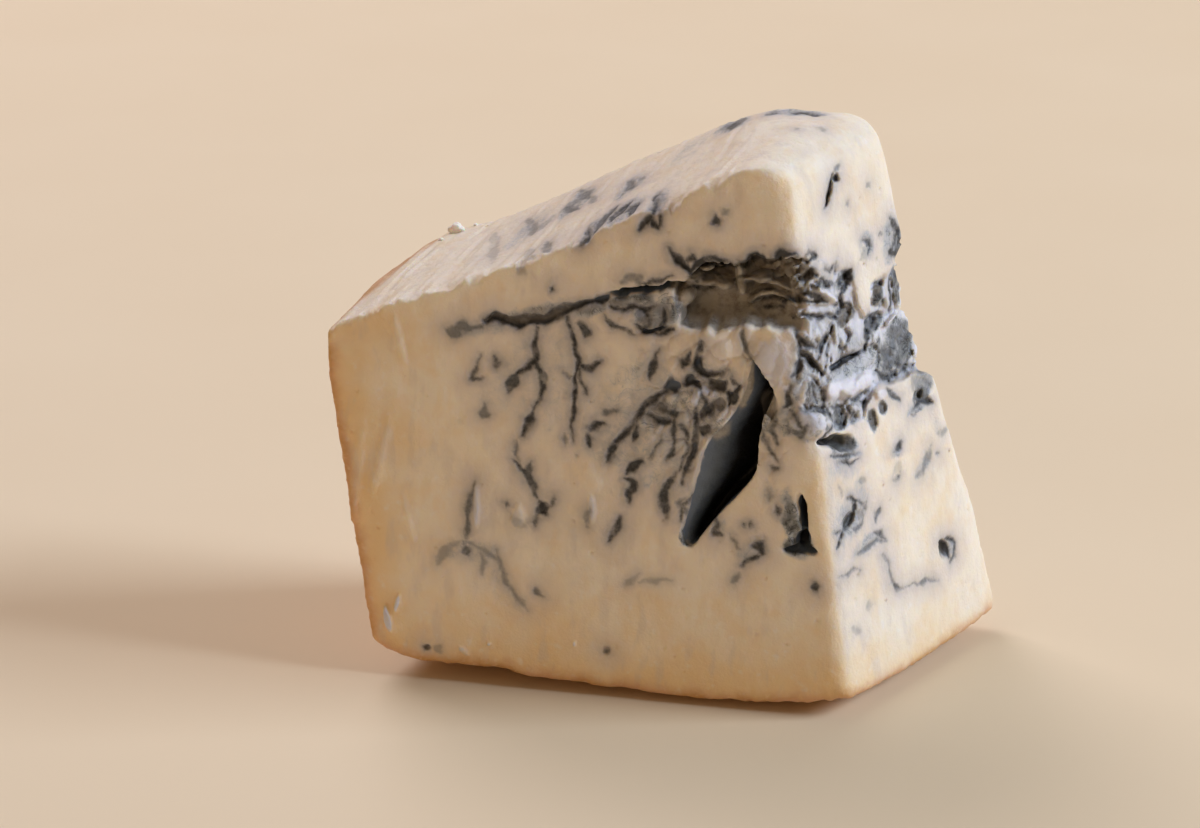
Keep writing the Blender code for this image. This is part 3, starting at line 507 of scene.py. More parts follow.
BACK_SEED, BACK_COUNT, BACK_MIDDLE, BACK_SPREAD = 5, 92, (-20.0, 38.0), (19.0, 14.0)
BACK_VEINS = random_veins(BACK_SEED, BACK_COUNT, BACK_MIDDLE, BACK_SPREAD, on_back)
# A mould patch at the start of every fourth vein: half sizes, lean and amount.
BACK_PATCH, BACK_PATCH_EVERY = (2.6, 3.8, 20.0, 0.34), 4
BACK_MOULD = tuple((*vein[3][0], *BACK_PATCH) for vein in BACK_VEINS[::BACK_PATCH_EVERY])


# ---------------------------------------------------------------- face relief

# Knife cut over the top, and the nearly level shoulder at its high end.
LEFT_END_X = -72.0
FRONT_EDGE_Z, FRONT_EDGE_SLOPE = 48.3, 0.447
BACK_EDGE_Z, BACK_EDGE_SLOPE = 48.7, 0.5
SAG_X, SAG_HALF, SAG_DEPTH = -46.0, 15.0, 1.2
CUT_NEAR_Y, CUT_FAR_Y = 5.0, 27.0
# How far the front edge of the knife cut is worn down, and the back edge lowered: X and mm.
EDGE_WEAR = ((-64.0, 0.2), (-60.4, 0.5), (-57.6, 0.7), (-54.5, 0.1), (-48.0, 0.0), (-43.5, 0.1),
             (-40.9, 0.5), (-38.2, 0.8), (-35.5, 0.5), (-33.0, 0.9), (-30.2, 0.5), (-27.5, 1.4),
             (-24.9, 0.9), (-22.3, 0.2), (-18.0, 0.0))
EDGE_WEAR_Y = 5.0
BACK_WEAR = ((-72.0, -1.0), (-66.0, -0.8), (-61.5, 0.0), (-57.0, 0.7), (-51.0, 1.0),
             (-45.0, 0.9), (-40.0, 0.6), (-28.0, 0.6), (-20.0, 0.5), (-12.0, 0.0))
# Bulge of the rind at the left end: height, middle and half width on Y.
LEFT_BULGE, LEFT_BULGE_Y, LEFT_BULGE_HALF = 1.9, 19.0, 14.0
SHOULDER_Z, SHOULDER_RISE, SHOULDER_FALL = 74.9, 0.4, 0.015
SHOULDER_ROUND = 3.0

# Rind foot.
FOOT_Z, FOOT_FLAT_Z = -3.3, -3.0
FOOT_X, FOOT_Y, FOOT_HALF_Y, FOOT_BULGE = -22.0, 17.5, 17.5, 0.9
FOOT_CURVE_LEFT, FOOT_CURVE_RIGHT = 0.00125, 0.0046
RIM_X, RIM_CURVE, RIM_LENGTH = -60.0, 0.03, 20.0
# How much higher the foot is along its front edge: X and mm.
FOOT_CHIPS = ((-66.0, 0.0), (-60.0, 0.2), (-53.0, 0.7), (-48.8, 1.1), (-46.0, 0.5), (-38.0, 0.7),
              (-34.5, 0.45), (-31.0, 0.8), (-28.0, 0.4), (-18.0, 0.3), (-8.0, 0.2), (-5.0, 0.0),
              (-3.6, 0.35), (-2.6, -0.1), (-1.4, 0.3), (0.0, 0.0))
PLAN_SKEW, PLAN_DEEP = 0.49, 40.0

# Band where the right side has broken away: depth that is added from one Y on over a length.
BREAK_DEPTH, BREAK_FROM_Y, BREAK_GROW_Y = 1.0, 8.0, 14.0
# The sides are drawn as seen from the camera's place, so a point that is sunk by one mm is drawn
# this much further along and higher: X and Z of the front, Y and Z of the right side.
FRONT_SLANT, RIGHT_SLANT = (0.129, 0.36), (-1.45, 0.535)
RIGHT_TABLE_LOW, RIGHT_TABLE_HIGH, TABLE_STEP = (-8.0, -5.0), (46.0, 82.0), 0.12
# Crumbly part of the front round the needle slot: middle and half size on X and Z.
BUSY_MIDDLE, BUSY_HALF = (-19.5, 41.0), (15.0, 17.0)

# Raised (positive) and sunk (negative) patches: along, up, half sizes, lean in degrees, height.
FRONT_MOUNDS = (
    (-7.2, 39.2, 2.4, 2.3, 0.0, 0.65), (-12.0, 47.2, 3.1, 4.6, 8.0, 0.45),
    (-20.2, 48.4, 3.2, 2.6, 0.0, 0.35),
    (-22.1, 41.6, 0.7, 1.9, -12.0, 0.8), (-27.0, 38.7, 3.0, 1.7, 20.0, -0.55),
    (-20.6, 42.4, 1.6, 1.2, 30.0, 0.5), (-18.2, 38.9, 2.0, 1.0, 50.0, 0.4),
    (-24.2, 45.2, 1.7, 1.4, 0.0, 0.3), (-33.0, 51.6, 3.2, 1.6, 10.0, 0.3),
    (-28.0, 52.0, 1.3, 1.2, 0.0, 0.24), (-25.9, 52.6, 1.0, 1.5, 0.0, 0.24),
    (-30.4, 51.8, 1.2, 1.0, 0.0, 0.18),
    (-20.9, 33.6, 1.3, 3.6, -16.0, 0.3), (-27.8, 33.4, 2.4, 3.0, -10.0, 0.15),
    (-46.0, 16.0, 3.0, 2.0, 20.0, 0.12), (-36.6, 28.4, 1.6, 2.4, 0.0, 0.2),
    (-52.5, 23.4, 0.6, 3.4, 0.0, 0.42), (-46.6, 22.4, 1.0, 2.0, -10.0, 0.40),
    (-36.2, 24.6, 0.6, 2.6, 0.0, 0.40),
    (-66.2, 29.0, 0.7, 6.4, -12.0, 0.28), (-69.6, 27.0, 0.9, 9.0, -8.0, 0.28),
    (-62.2, 21.0, 0.5, 4.2, 14.0, 0.26), (-63.3, 46.4, 0.6, 4.0, 14.0, 0.28),
    (-65.2, 5.6, 0.55, 2.5, 10.0, 0.85), (-63.8, 8.4, 0.4, 1.6, -12.0, 0.6),
    (-54.3, 2.0, 0.9, 0.4, -40.0, 0.6), (-50.6, 3.4, 0.3, 0.3, 0.0, 0.5), (-38.4, 4.6, 0.3, 0.5, 0.0, 0.45),
    (-22.1, 21.8, 0.5, 0.5, 0.0, 0.6),
    (-13.2, 13.6, 2.4, 0.9, -30.0, 0.12), (-30.6, 4.2, 2.6, 1.4, 0.0, 0.1),
)
RIGHT_MOUNDS = (
    (15.4, 54.0, 1.9, 3.0, -10.0, 0.10), (20.9, 48.3, 1.8, 0.3, 22.0, 0.35),
    (20.8, 51.6, 0.5, 2.2, 0.0, 0.1),
    (6.7, 42.6, 1.8, 1.3, -6.0, 0.70), (9.7, 41.8, 2.2, 1.8, -20.0, 0.66),
    (12.8, 41.9, 2.3, 1.4, 10.0, 0.70),
    (0.6, 39.4, 4.6, 2.4, -12.0, 0.9), (9.8, 38.6, 1.1, 1.0, 0.0, 0.4), (11.4, 37.8, 0.9, 1.1, 0.0, 0.3),
    (16.2, 38.9, 1.4, 1.0, -20.0, 0.5), (8.0, 55.8, 3.0, 0.5, -41.0, 0.5),
    (9.0, 49.8, 0.35, 1.6, -6.0, 0.25),
    (13.6, 36.0, 1.1, 1.8, 8.0, -0.6), (15.9, 37.0, 0.9, 1.0, -10.0, -0.5),
    (25.0, 37.0, 2.6, 1.8, 0.0, -0.35), (24.0, 58.6, 1.5, 1.6, 0.0, -0.3), (8.4, 59.0, 1.6, 1.2, 0.0, 0.25),
)

# Let into the faces: along, up, half sizes, lean, depth.
FRONT_HOLLOWS = (
    (-25.4, 42.5, 1.4, 0.8, 24.0, 1.4), (-12.1, 41.2, 0.9, 2.2, 8.0, 1.8),
    (-19.4, 43.4, 1.1, 0.6, 20.0, 0.9), (-18.9, 40.8, 0.7, 1.0, -20.0, 0.9),
    (-7.1, 26.0, 0.62, 3.4, 10.0, 4.4), (-7.2, 22.2, 1.1, 1.7, 4.0, 4.0), (-8.3, 21.0, 1.4, 0.55, 8.0, 2.6),
    (-6.0, 21.1, 1.2, 0.6, -14.0, 3.0),
    (-19.6, 58.9, 1.0, 0.9, 0.0, 12.0), (-13.2, 60.5, 1.9, 0.5, 4.0, 10.0),
    (-9.7, 60.6, 0.9, 0.6, 10.0, 8.0), (-12.4, 54.9, 1.5, 0.4, -4.0, 9.0),
    (-28.0, 50.3, 2.3, 0.34, 16.0, 2.0), (-33.8, 4.0, 0.5, 0.5, 0.0, 0.9),
    (-59.6, 1.9, 0.5, 0.4, 0.0, 0.7),
)
RIGHT_HOLLOWS = (
    (5.4, 35.7, 2.4, 0.9, -10.0, 3.0), (7.6, 34.6, 2.3, 1.2, -20.0, 2.6), (25.0, 12.9, 1.0, 1.8, 14.0, 2.4),
    (24.4, 36.0, 0.7, 0.6, 0.0, 1.8), (5.6, 24.3, 1.5, 0.45, 32.0, 1.6),
)


def turned(u, v, patch):
    """Coordinates of a patch of given half sizes and lean, one at its rim."""
    along, up, half_u, half_v, lean = patch[:5]
    cosine, sine = math.cos(math.radians(lean)), math.sin(math.radians(lean))
    du, dv = u - along, v - up
    return (du * cosine + dv * sine) / half_u, (dv * cosine - du * sine) / half_v


def mound_relief(u, v, mounds, seed):
    """Sum of raised and sunk patches with uneven rims."""
    wobble = 0.16 * noise((u, v), 1.3, seed) + 0.08 * noise((u, v), 0.6, seed + 1)
    total = 0.0
    for mound in mounds:
        a, b = turned(u, v, mound)
        total = total + mound[5] * ease((1.12 - np.sqrt(a * a + b * b) + wobble) / 0.55)
    return total


def pits(u, v, seed, size, share, radius, depth):
    """Small scattered pits."""
    away, _, number, _, _ = cell_pattern(u, v, size, seed)
    return np.where(number < share, depth * ease(1.0 - away / radius), 0.0)


def cut_texture(u, v, seed):
    """Faint drag lines, curd unevenness and pits of a cut face."""
    drag = 0.05 * noise((u, v * 0.16), 0.9, seed)
    curd = 0.10 * layered_noise((u, v), 6.0, seed + 1) + 0.035 * noise((u, v), 1.2, seed + 2)
    holes = pits(u, v, seed + 3, 3.1, 0.16, 0.36, 0.35) + pits(u, v, seed + 4, 1.7, 0.10, 0.22, 0.2)
    return drag + curd + holes


def shatter(u, v, size, seed, lean, stretch):
    """Broken curd: depth of tilted flakes, in about -1..1, and how close the border is."""
    cosine, sine = math.cos(math.radians(lean)), math.sin(math.radians(lean))
    along = (u * cosine + v * sine) / stretch
    across = v * cosine - u * sine
    along = along + 0.30 * size * noise((u, v), size * 0.9, seed + 3)
    across = across + 0.30 * size * noise((u, v), size * 0.9, seed + 4)
    _, gap, number, off_u, off_v = cell_pattern(along, across, size, seed)
    tilt_u = np.modf(number * 17.31)[0] - 0.5
    tilt_v = np.modf(number * 53.77)[0] - 0.5
    tilt = (off_u * tilt_u + off_v * tilt_v) / size
    return 1.4 * (number - 0.5) + 1.6 * tilt, ease(1.0 - gap / (0.22 * size))


def front_relief(x, z):
    """Depth of the front relief into the wedge."""
    _, _, groove = vein_fields(x, z, FRONT_VEINS)
    busy = (bell((x - BUSY_MIDDLE[0]) / BUSY_HALF[0])
            * bell((z - BUSY_MIDDLE[1]) / BUSY_HALF[1]))
    flakes, border = shatter(x, z, 2.7, 33, 62.0, 1.8)
    lobes = busy * (0.28 * flakes + 0.55 * border)
    bumps = 0.16 * layered_noise((x, z), 3.4, 35, 3, 0.6) * ease((z - 14.0) / 16.0)
    return cut_texture(x, z, 11) + groove + lobes + bumps - mound_relief(x, z, FRONT_MOUNDS, 41)


# Upper and lower edge of the torn part of the right side: Y and Z.
TORN_TOP = ((-6.0, 63.2), (0.0, 62.7), (4.0, 61.8), (5.8, 60.2), (7.0, 57.6), (9.4, 56.6), (10.4, 58.6),
            (12.6, 58.2), (13.8, 57.0), (14.2, 52.6), (15.2, 50.4), (16.6, 50.8), (17.3, 54.4),
            (19.5, 55.0), (21.2, 54.8), (23.0, 55.8), (25.0, 55.4), (32.0, 55.4))
TORN_FOOT = ((-6.0, 36.4), (1.0, 37.0), (4.6, 38.2), (6.0, 36.6), (8.4, 36.4), (12.0, 36.6), (13.0, 38.4),
             (16.0, 39.8), (20.0, 39.2), (23.0, 39.4), (26.0, 38.6), (29.0, 37.0), (33.0, 36.0))


def torn_level(y):
    """How far the torn band is sunk, without its forms."""
    return 0.55 + 0.5 * ease((3.6 - y) / 3.2) + BREAK_DEPTH * ease((y - BREAK_FROM_Y) / BREAK_GROW_Y)


def drawn_place(along, up, sunk, slant):
    """Where a sunk place of a side is on the drawing of that side."""
    return along + slant[0] * sunk, up + slant[1] * sunk


def torn_share(y, z):
    """One where the right side is torn, nothing where it is cut."""
    ragged = 0.40 * layered_noise((y, z), 2.0, 53, 3, 0.6)
    high = np.interp(y, *zip(*TORN_TOP)) - z + ragged
    low = z - np.interp(y, *zip(*TORN_FOOT)) + ragged
    return ease(high / 0.9) * ease(low / 0.8)


def patch_share(y, z, patch, seed):
    """One inside a patch with a crisp, slightly ragged rim."""
    a, b = turned(y, z, patch)
    wobble = 0.20 * layered_noise((y, z), 2.2, seed) + 0.14 * noise((y, z), 0.8, seed + 5)
    return ease((1.0 - (np.abs(a) ** 2.6 + np.abs(b) ** 2.6) ** (1.0 / 2.6) + wobble) / 0.32)


# Broken faces of the torn band: along, up, half sizes, lean; depth at the middle and its slope along
# and up; how crumbly it is and how dark its creases are.
TORN_FORMS = (
    ((0.4, 59.8, 4.6, 1.7, -6.0), (1.4, 0.0, -0.10), 0.7, 0.7),
    ((-0.4, 62.0, 3.8, 0.7, -3.0), (2.6, 0.0, 0.0), 0.5, 1.0),
    ((4.7, 59.5, 1.9, 1.5, 0.0), (0.9, 0.0, 0.0), 0.8, 0.9),
    ((8.4, 58.9, 2.3, 1.7, -14.0), (0.25, -0.05, 0.10), 0.15, 0.1),
    ((8.4, 56.8, 1.5, 0.35, -8.0), (1.0, 0.0, 0.0), 0.3, 1.0),
    ((12.8, 54.2, 2.0, 3.4, -4.0), (0.30, 0.0, 0.0), 0.4, 0.3),
    ((12.4, 56.4, 2.0, 1.2, 22.0), (0.55, 0.0, 0.0), 1.3, 0.9),
    ((6.0, 55.2, 5.4, 0.8, -17.0), (0.4, 0.0, 0.3), 0.5, 0.5),
    ((6.8, 53.9, 3.4, 0.7, -16.0), (0.5, 0.0, 0.5), 0.3, 0.2),
    ((8.0, 55.8, 3.2, 0.55, -41.0), (-0.15, -0.04, 0.30), 0.15, 0.0),
    ((4.6, 51.9, 3.6, 1.9, -14.0), (0.45, -0.10, 0.25), 0.35, 0.3),
    ((2.4, 48.4, 3.0, 1.0, -58.0), (1.1, 0.0, 0.0), 0.6, 0.8),
    ((6.3, 47.5, 3.0, 2.3, 40.0), (0.6, -0.10, 0.20), 0.25, 0.2),
    ((12.6, 48.1, 3.0, 2.6, 10.0), (0.25, 0.0, 0.16), 0.2, 0.1),
    ((15.2, 53.4, 2.0, 4.0, -8.0), (0.8, 0.0, 0.0), 0.12, 0.0),
    ((11.5, 51.5, 1.8, 1.4, -10.0), (0.7, 0.1, 0.3), 1.6, 0.9),
    ((10.7, 49.3, 1.3, 1.1, -30.0), (1.1, 0.5, 0.4), 0.15, 0.1),
    ((9.0, 49.7, 0.45, 1.8, -6.0), (0.5, 0.3, 0.0), 0.1, 0.0),
    ((9.6, 45.7, 3.6, 0.42, 3.0), (1.7, 0.0, 0.0), 0.8, 1.0),
    ((11.8, 44.3, 5.6, 1.3, 3.0), (0.7, 0.0, 0.40), 0.2, 0.15),
    ((20.9, 44.4, 4.5, 4.2, -8.0), (1.5, 0.0, 0.10), 0.15, 0.1),
    ((17.3, 49.0, 2.4, 1.5, 6.0), (2.0, -0.1, 0.4), 0.6, 0.5),
    ((20.8, 48.2, 1.9, 0.3, 22.0), (0.9, 0.0, 0.0), 0.2, 0.1),
    ((20.9, 52.2, 1.1, 2.8, 0.0), (0.9, 0.0, 0.0), 0.2, 0.1),
    ((22.9, 52.2, 0.9, 3.0, 0.0), (1.1, 0.3, 0.0), 0.5, 0.5),
    ((18.6, 52.5, 1.5, 1.7, 6.0), (0.5, 0.0, 0.1), 1.2, 0.9),
    ((2.8, 43.3, 2.4, 2.0, 0.0), (0.8, -0.10, 0.0), 0.7, 0.8),
    ((1.0, 39.2, 4.7, 2.3, -12.0), (-0.15, 0.0, 0.10), 0.5, 0.4),
    ((6.8, 42.5, 2.2, 1.5, -4.0), (0.2, 0.0, 0.1), 0.1, 0.0),
    ((11.3, 41.8, 3.9, 1.7, -6.0), (0.2, 0.0, 0.1), 0.12, 0.0),
    ((7.1, 38.3, 1.6, 2.1, 0.0), (1.1, 0.0, 0.0), 0.9, 0.8),
    ((10.4, 38.3, 1.8, 1.6, 0.0), (0.1, 0.0, 0.0), 0.5, 0.5),
    ((17.8, 40.9, 1.9, 0.5, -24.0), (1.1, 0.0, 0.0), 0.8, 0.6),
)


def torn_detail(y, z):
    """Depth of the torn band and how much each place is a crease."""
    sunk = torn_level(y)
    large, border = shatter(y, z, 3.6, 54, 32.0, 1.5)
    small, seam = shatter(y, z, 1.4, 57, 40.0, 1.8)
    crumble = layered_noise((y, z), 1.5, 51, 4, 0.62)
    fine = 0.26 * small + 0.18 * seam + 0.26 * crumble
    drag = 0.10 * noise((y, 0.22 * z), 0.5, 151) + 0.16 * noise((y, z), 1.9, 152)
    crumbs = np.maximum(0.6 * border, 0.7 * seam)
    depth, crease = sunk + 0.32 * large + 0.3 * border + fine, crumbs
    fold = np.abs(y - 5.2) + 0.5 * (z - 46.0) + 0.5 * noise((y, z), 1.6, 153)
    folds = 0.14 * np.sin(fold * 4.1) * bell((y - 5.0) / 5.5) * bell((z - 50.0) / 5.5)
    for patch, (level, slope_y, slope_z), rough, dark in TORN_FORMS:
        share = patch_share(y, z, patch, 154)
        form = level + slope_y * (y - patch[0]) + slope_z * (z - patch[1])
        depth = depth + share * (form + rough * fine + drag - depth)
        crease = crease + share * (dark * crumbs - crease)
    return depth + folds, crease + ease(folds / 0.25) * 0.8


def right_relief(y, z):
    """Depth of the right relief into the wedge, with the torn band."""
    _, _, groove = vein_fields(y, z, RIGHT_VEINS)
    torn, _ = torn_detail(y, z)
    return (cut_texture(y, z, 61) + groove + torn_share(y, z) * torn
            - mound_relief(y, z, RIGHT_MOUNDS, 43))


def make_right_table():
    """The right relief worked out on a fine grid of its drawing."""
    along, up = (np.arange(low, high, TABLE_STEP, dtype=np.float32)
                 for low, high in zip(RIGHT_TABLE_LOW, RIGHT_TABLE_HIGH))
    return right_relief(*np.meshgrid(along, up, indexing="ij"))


def read_right(table, y, z, sunk):
    """The right relief at places that are sunk by some mm, read between the grid points."""
    drawn = drawn_place(y, z, sunk, RIGHT_SLANT)
    cells, parts = [], []
    for value, low, count in zip(drawn, RIGHT_TABLE_LOW, table.shape):
        value = np.clip((value - low) / TABLE_STEP, 0.0, count - 1.01)
        cells.append(value.astype(np.int32))
        parts.append(value - cells[-1])
    (one, two), (part_one, part_two) = cells, parts
    near = table[one, two] * (1.0 - part_two) + table[one, two + 1] * part_two
    far = table[one + 1, two] * (1.0 - part_two) + table[one + 1, two + 1] * part_two
    return near * (1.0 - part_one) + far * part_one


def back_relief(x, z):
    """Depth of the back relief into the wedge."""
    _, _, groove = vein_fields(x, z, BACK_VEINS)
    run = 55.0 + 0.12 * x + 0.7 * noise((x, x), 3.0, 81)
    away = np.abs(z - run)
    length = ease((x + 26.0) / 18.0)
    crack = 2.2 * length * ease(1.0 - away / (0.4 + 1.7 * length))
    rough = 0.5 * length * bell(away / 6.0) * layered_noise((x, z), 2.4, 82, 4, 0.6)
    return cut_texture(x, z, 83) + groove + crack + rough


def rind_relief(u, v, seed):
    """Fine wrinkles and dimples of the rind."""
    folds = np.abs(layered_noise((u, v), 3.2, seed, 4, 0.6))
    dimples = pits(u, v, seed + 5, 2.4, 0.25, 0.5, 0.35)
    return 0.28 * folds + 0.10 * noise((u, v), 0.8, seed + 9) + dimples


def top_height(x, y):
    """Height of the knife cut with its shoulder, without fine relief."""
    back = ease((y - CUT_NEAR_Y) / (CUT_FAR_Y - CUT_NEAR_Y))
    near = FRONT_EDGE_Z + FRONT_EDGE_SLOPE * (x - LEFT_END_X)
    near = near - SAG_DEPTH * bell((x - SAG_X) / SAG_HALF)
    far = BACK_EDGE_Z + BACK_EDGE_SLOPE * (x - LEFT_END_X)
    far = far - np.interp(x, *zip(*BACK_WEAR))
    worn = np.interp(x, *zip(*EDGE_WEAR)) * ease(1.0 - (y - CUT_NEAR_Y) / EDGE_WEAR_Y) ** 2
    slope = near + (far - near) * back - worn
    shoulder = SHOULDER_Z + SHOULDER_RISE * back - SHOULDER_FALL * x
    return soft_min(slope, shoulder, SHOULDER_ROUND)


def top_relief(x, y):
    """Depth of the ridges that the knife left from front to back, and of the top veins."""
    _, _, groove = vein_fields(x, y, TOP_VEINS)
    across = x - 0.22 * y + 0.5 * noise((x, y), 7.0, 91)
    sloped = ease((-14.0 - x) / 6.0)
    ridge = (0.15 * noise((across, 0.10 * y), 0.9, 92)
             + 0.10 * noise((across, 0.08 * y), 0.42, 93))
    ridge = ridge * (0.7 + 0.5 * noise((x, 0.3 * y), 5.0, 97))
    plain = 0.10 * layered_noise((x, y), 5.0, 94)
    shoulder = (1.0 - sloped) * (0.10 * noise((0.25 * x + y, y - 0.2 * x), 0.9, 95))
    inward = y - plane_y(FRONT, x, top_height(x, y))
    ridge = ridge * (1.0 + 1.2 * ease(1.0 - inward / 3.0))
    chips = (0.7 * ease(noise((x, 0.3 * y), 1.7, 98) * 1.6)
             + 0.35 * ease(noise((x, y), 0.7, 99) * 1.5))
    plain = plain + chips * ease(1.0 - inward / 1.8) * sloped
    holes = pits(x, y, 96, 2.6, 0.12, 0.3, 0.3)
    return ridge * (0.18 + 0.82 * sloped) + plain + groove + shoulder + holes


def foot_height(x, y):
    """Height of the rind foot, flattened where it rests."""
    along = x - FOOT_X
    skewed = np.maximum(along - PLAN_SKEW * np.clip(y, 0.0, PLAN_DEEP), 0.0)
    left_curve = FOOT_CURVE_LEFT * np.minimum(along, 0.0) ** 2
    right_curve = FOOT_CURVE_RIGHT * skewed ** 2
    rim = RIM_CURVE * np.clip(RIM_X - x, 0.0, RIM_LENGTH) ** 2
    bulge = FOOT_BULGE * ((y - FOOT_Y) / FOOT_HALF_Y) ** 2
    chips = np.interp(x, *zip(*FOOT_CHIPS)) * ease(1.0 - y / 7.0)
    rough = rind_relief(x, y, 101) + chips
    return np.maximum(FOOT_Z + bulge + left_curve + right_curve + rim + rough, FOOT_FLAT_Z)


# ---------------------------------------------------------------- crack, slot and hollows

CRACK_FLOOR = ((-37.0, 53.6), (-34.5, 54.3), (-30.0, 55.0), (-27.0, 55.9), (-25.6, 56.2),
               (-24.6, 50.9), (-20.0, 50.8), (-16.0, 51.7), (-12.0, 51.4), (-4.0, 51.3))
CRACK_ROOF = ((-37.0, 54.0), (-34.0, 55.4), (-29.5, 56.2), (-25.0, 57.5), (-23.3, 58.0), (-22.3, 59.3),
              (-21.0, 59.9), (-16.0, 60.1), (-15.0, 61.3), (-14.2, 61.3), (-12.8, 60.6), (-10.8, 61.4),
              (-8.6, 61.2), (-4.0, 60.8))


def crack_floor(x):
    """Height of the lower lip of the open crack."""
    ragged = 0.28 * noise((x, x), 1.3, 111) + 0.12 * noise((x, x), 0.5, 112)
    return np.interp(x, *zip(*CRACK_FLOOR)).astype(np.float32) + ragged


def crack_roof(x):
    """Height of the upper lip of the open crack."""
    ragged = 0.22 * noise((x, x), 1.5, 113) + 0.24 * noise((x, x), 0.6, 114)
    return np.interp(x, *zip(*CRACK_ROOF)).astype(np.float32) + ragged


def crack_depth(x):
    """How deep the open crack goes in from the front."""
    grow = 1.0 + 3.0 * ease((x + 35.5) / 4.0) + 1.9 * ease((x + 27.0) / 4.0)
    return grow * (1.0 - 0.45 * ease((x + 15.0) / 6.0)) * (1.0 - 0.80 * ease((x + 9.6) / 3.6))


# Folded curd at the right end of the crack: half thickness, how far in it starts, points on X and Z.
CRACK_FOLDS = (
    (0.16, 2.6, ((-15.6, 54.6), (-14.4, 55.7), (-12.8, 56.1), (-11.2, 55.8), (-9.4, 54.6))),
    (0.14, 3.0, ((-17.0, 57.3), (-15.2, 57.8), (-13.4, 57.6), (-11.6, 56.9), (-9.6, 56.2))),
    (0.35, 3.0, ((-17.4, 59.4), (-17.2, 57.6), (-16.8, 55.8))),
    (0.30, 3.0, ((-24.8, 55.8), (-23.6, 56.6), (-21.4, 56.8), (-19.1, 56.4))),
)
# Lumps left in the crack: centre X, depth behind the front, Z, and half sizes.
CRACK_LUMPS = (
    (-25.4, 2.0, 52.6, 1.2, 2.0, 1.7), (-24.4, 3.4, 54.6, 1.4, 2.2, 1.3),
    (-23.6, 4.2, 57.0, 1.5, 2.2, 0.9), (-21.8, 4.4, 58.6, 1.1, 2.0, 0.7),
    (-14.0, 3.8, 57.7, 1.2, 1.8, 0.7), (-9.0, 1.4, 60.4, 1.3, 1.6, 1.1),
    (-7.4, 2.6, 53.4, 2.0, 1.8, 0.9), (-8.6, 1.6, 57.9, 1.5, 1.5, 1.2), (-7.4, 1.4, 55.2, 1.9, 1.4, 0.7),
)

# Left and right edge of the needle slot on the front, Z and X, and how deep it goes.
SLOT_LEFT = ((20.2, -22.8), (21.0, -23.4), (22.5, -23.6), (25.0, -22.9), (28.0, -22.3), (31.0, -21.7),
             (34.0, -20.9), (36.0, -19.9), (38.6, -17.6), (40.5, -16.5), (43.0, -15.5), (47.4, -14.7))
SLOT_RIGHT = ((20.2, -22.5), (20.9, -21.8), (22.4, -20.9), (24.2, -19.7), (25.8, -18.4), (28.0, -16.4),
              (30.6, -14.5), (32.0, -13.9), (35.0, -13.8), (37.0, -13.6), (39.5, -13.2), (42.0, -12.3),
              (43.2, -12.0), (44.5, -12.7), (46.8, -14.3), (47.4, -14.5))
SLOT_DEPTH = 10.5


def line_distance(u, v, points):
    """Distance to a line through points."""
    away = 99.0
    for start, end in zip(points, points[1:]):
        run_u, run_v = end[0] - start[0], end[1] - start[1]
        share = ((u - start[0]) * run_u + (v - start[1]) * run_v) / (run_u ** 2 + run_v ** 2)
        share = np.clip(share, 0.0, 1.0)
        away = np.minimum(away, np.hypot(u - start[0] - share * run_u, v - start[1] - share * run_v))
    return away


def crack_carve(x, y, z):
    """Signed distance inside the open crack, negative in the gap."""
    deep = y - plane_y(FRONT, x, z)
    flakes, border = shatter(x, z, 2.1, 121, 24.0, 1.5)
    flaky = 0.65 * flakes + 0.9 * border + 0.45 * layered_noise((x, z), 1.4, 122, 3, 0.6)
    floor_rise = 0.06 * deep ** 2 * ease(deep / 2.0) + 0.15 * noise((x, y), 1.4, 124)
    floor = crack_floor(x) + floor_rise
    roof = crack_roof(x) + 0.10 * deep + 0.25 * noise((x, y), 0.9, 123)
    wall = deep - crack_depth(x) - flaky * ease((z - floor - 1.2) / 2.2)
    gap = soft_max(floor - z, z - roof, 0.4)
    gap = soft_max(gap, wall, 1.6)
    return np.maximum(gap, -36.0 - x)


def crack_fill(x, y, z):
    """Signed distance of the folds and lumps that stand in the crack."""
    deep = y - plane_y(FRONT, x, z)
    warp_x = x + 0.22 * noise((x, y, z), 1.2, 131)
    warp_z = z + 0.22 * noise((x, y, z), 1.2, 132)
    fill = np.full(np.broadcast(x, y, z).shape, 9.0, np.float32)
    for half, start, points in CRACK_FOLDS:
        grown = half + 0.24 * np.maximum(deep - start, 0.0)
        sheet = line_distance(warp_x, warp_z + 0.10 * deep, points) - grown
        fill = np.minimum(fill, soft_max(sheet, start - deep, 0.4))
    for centre_x, centre_deep, centre_z, half_x, half_y, half_z in CRACK_LUMPS:
        away = np.sqrt(((warp_x - centre_x) / half_x) ** 2 + ((deep - centre_deep) / half_y) ** 2
                       + ((warp_z - centre_z) / half_z) ** 2)
        fill = soft_min(fill, (away - 1.0) * min(half_x, half_y, half_z), 0.3)
    return fill + 0.10 * noise((x, y, z), 0.8, 133)


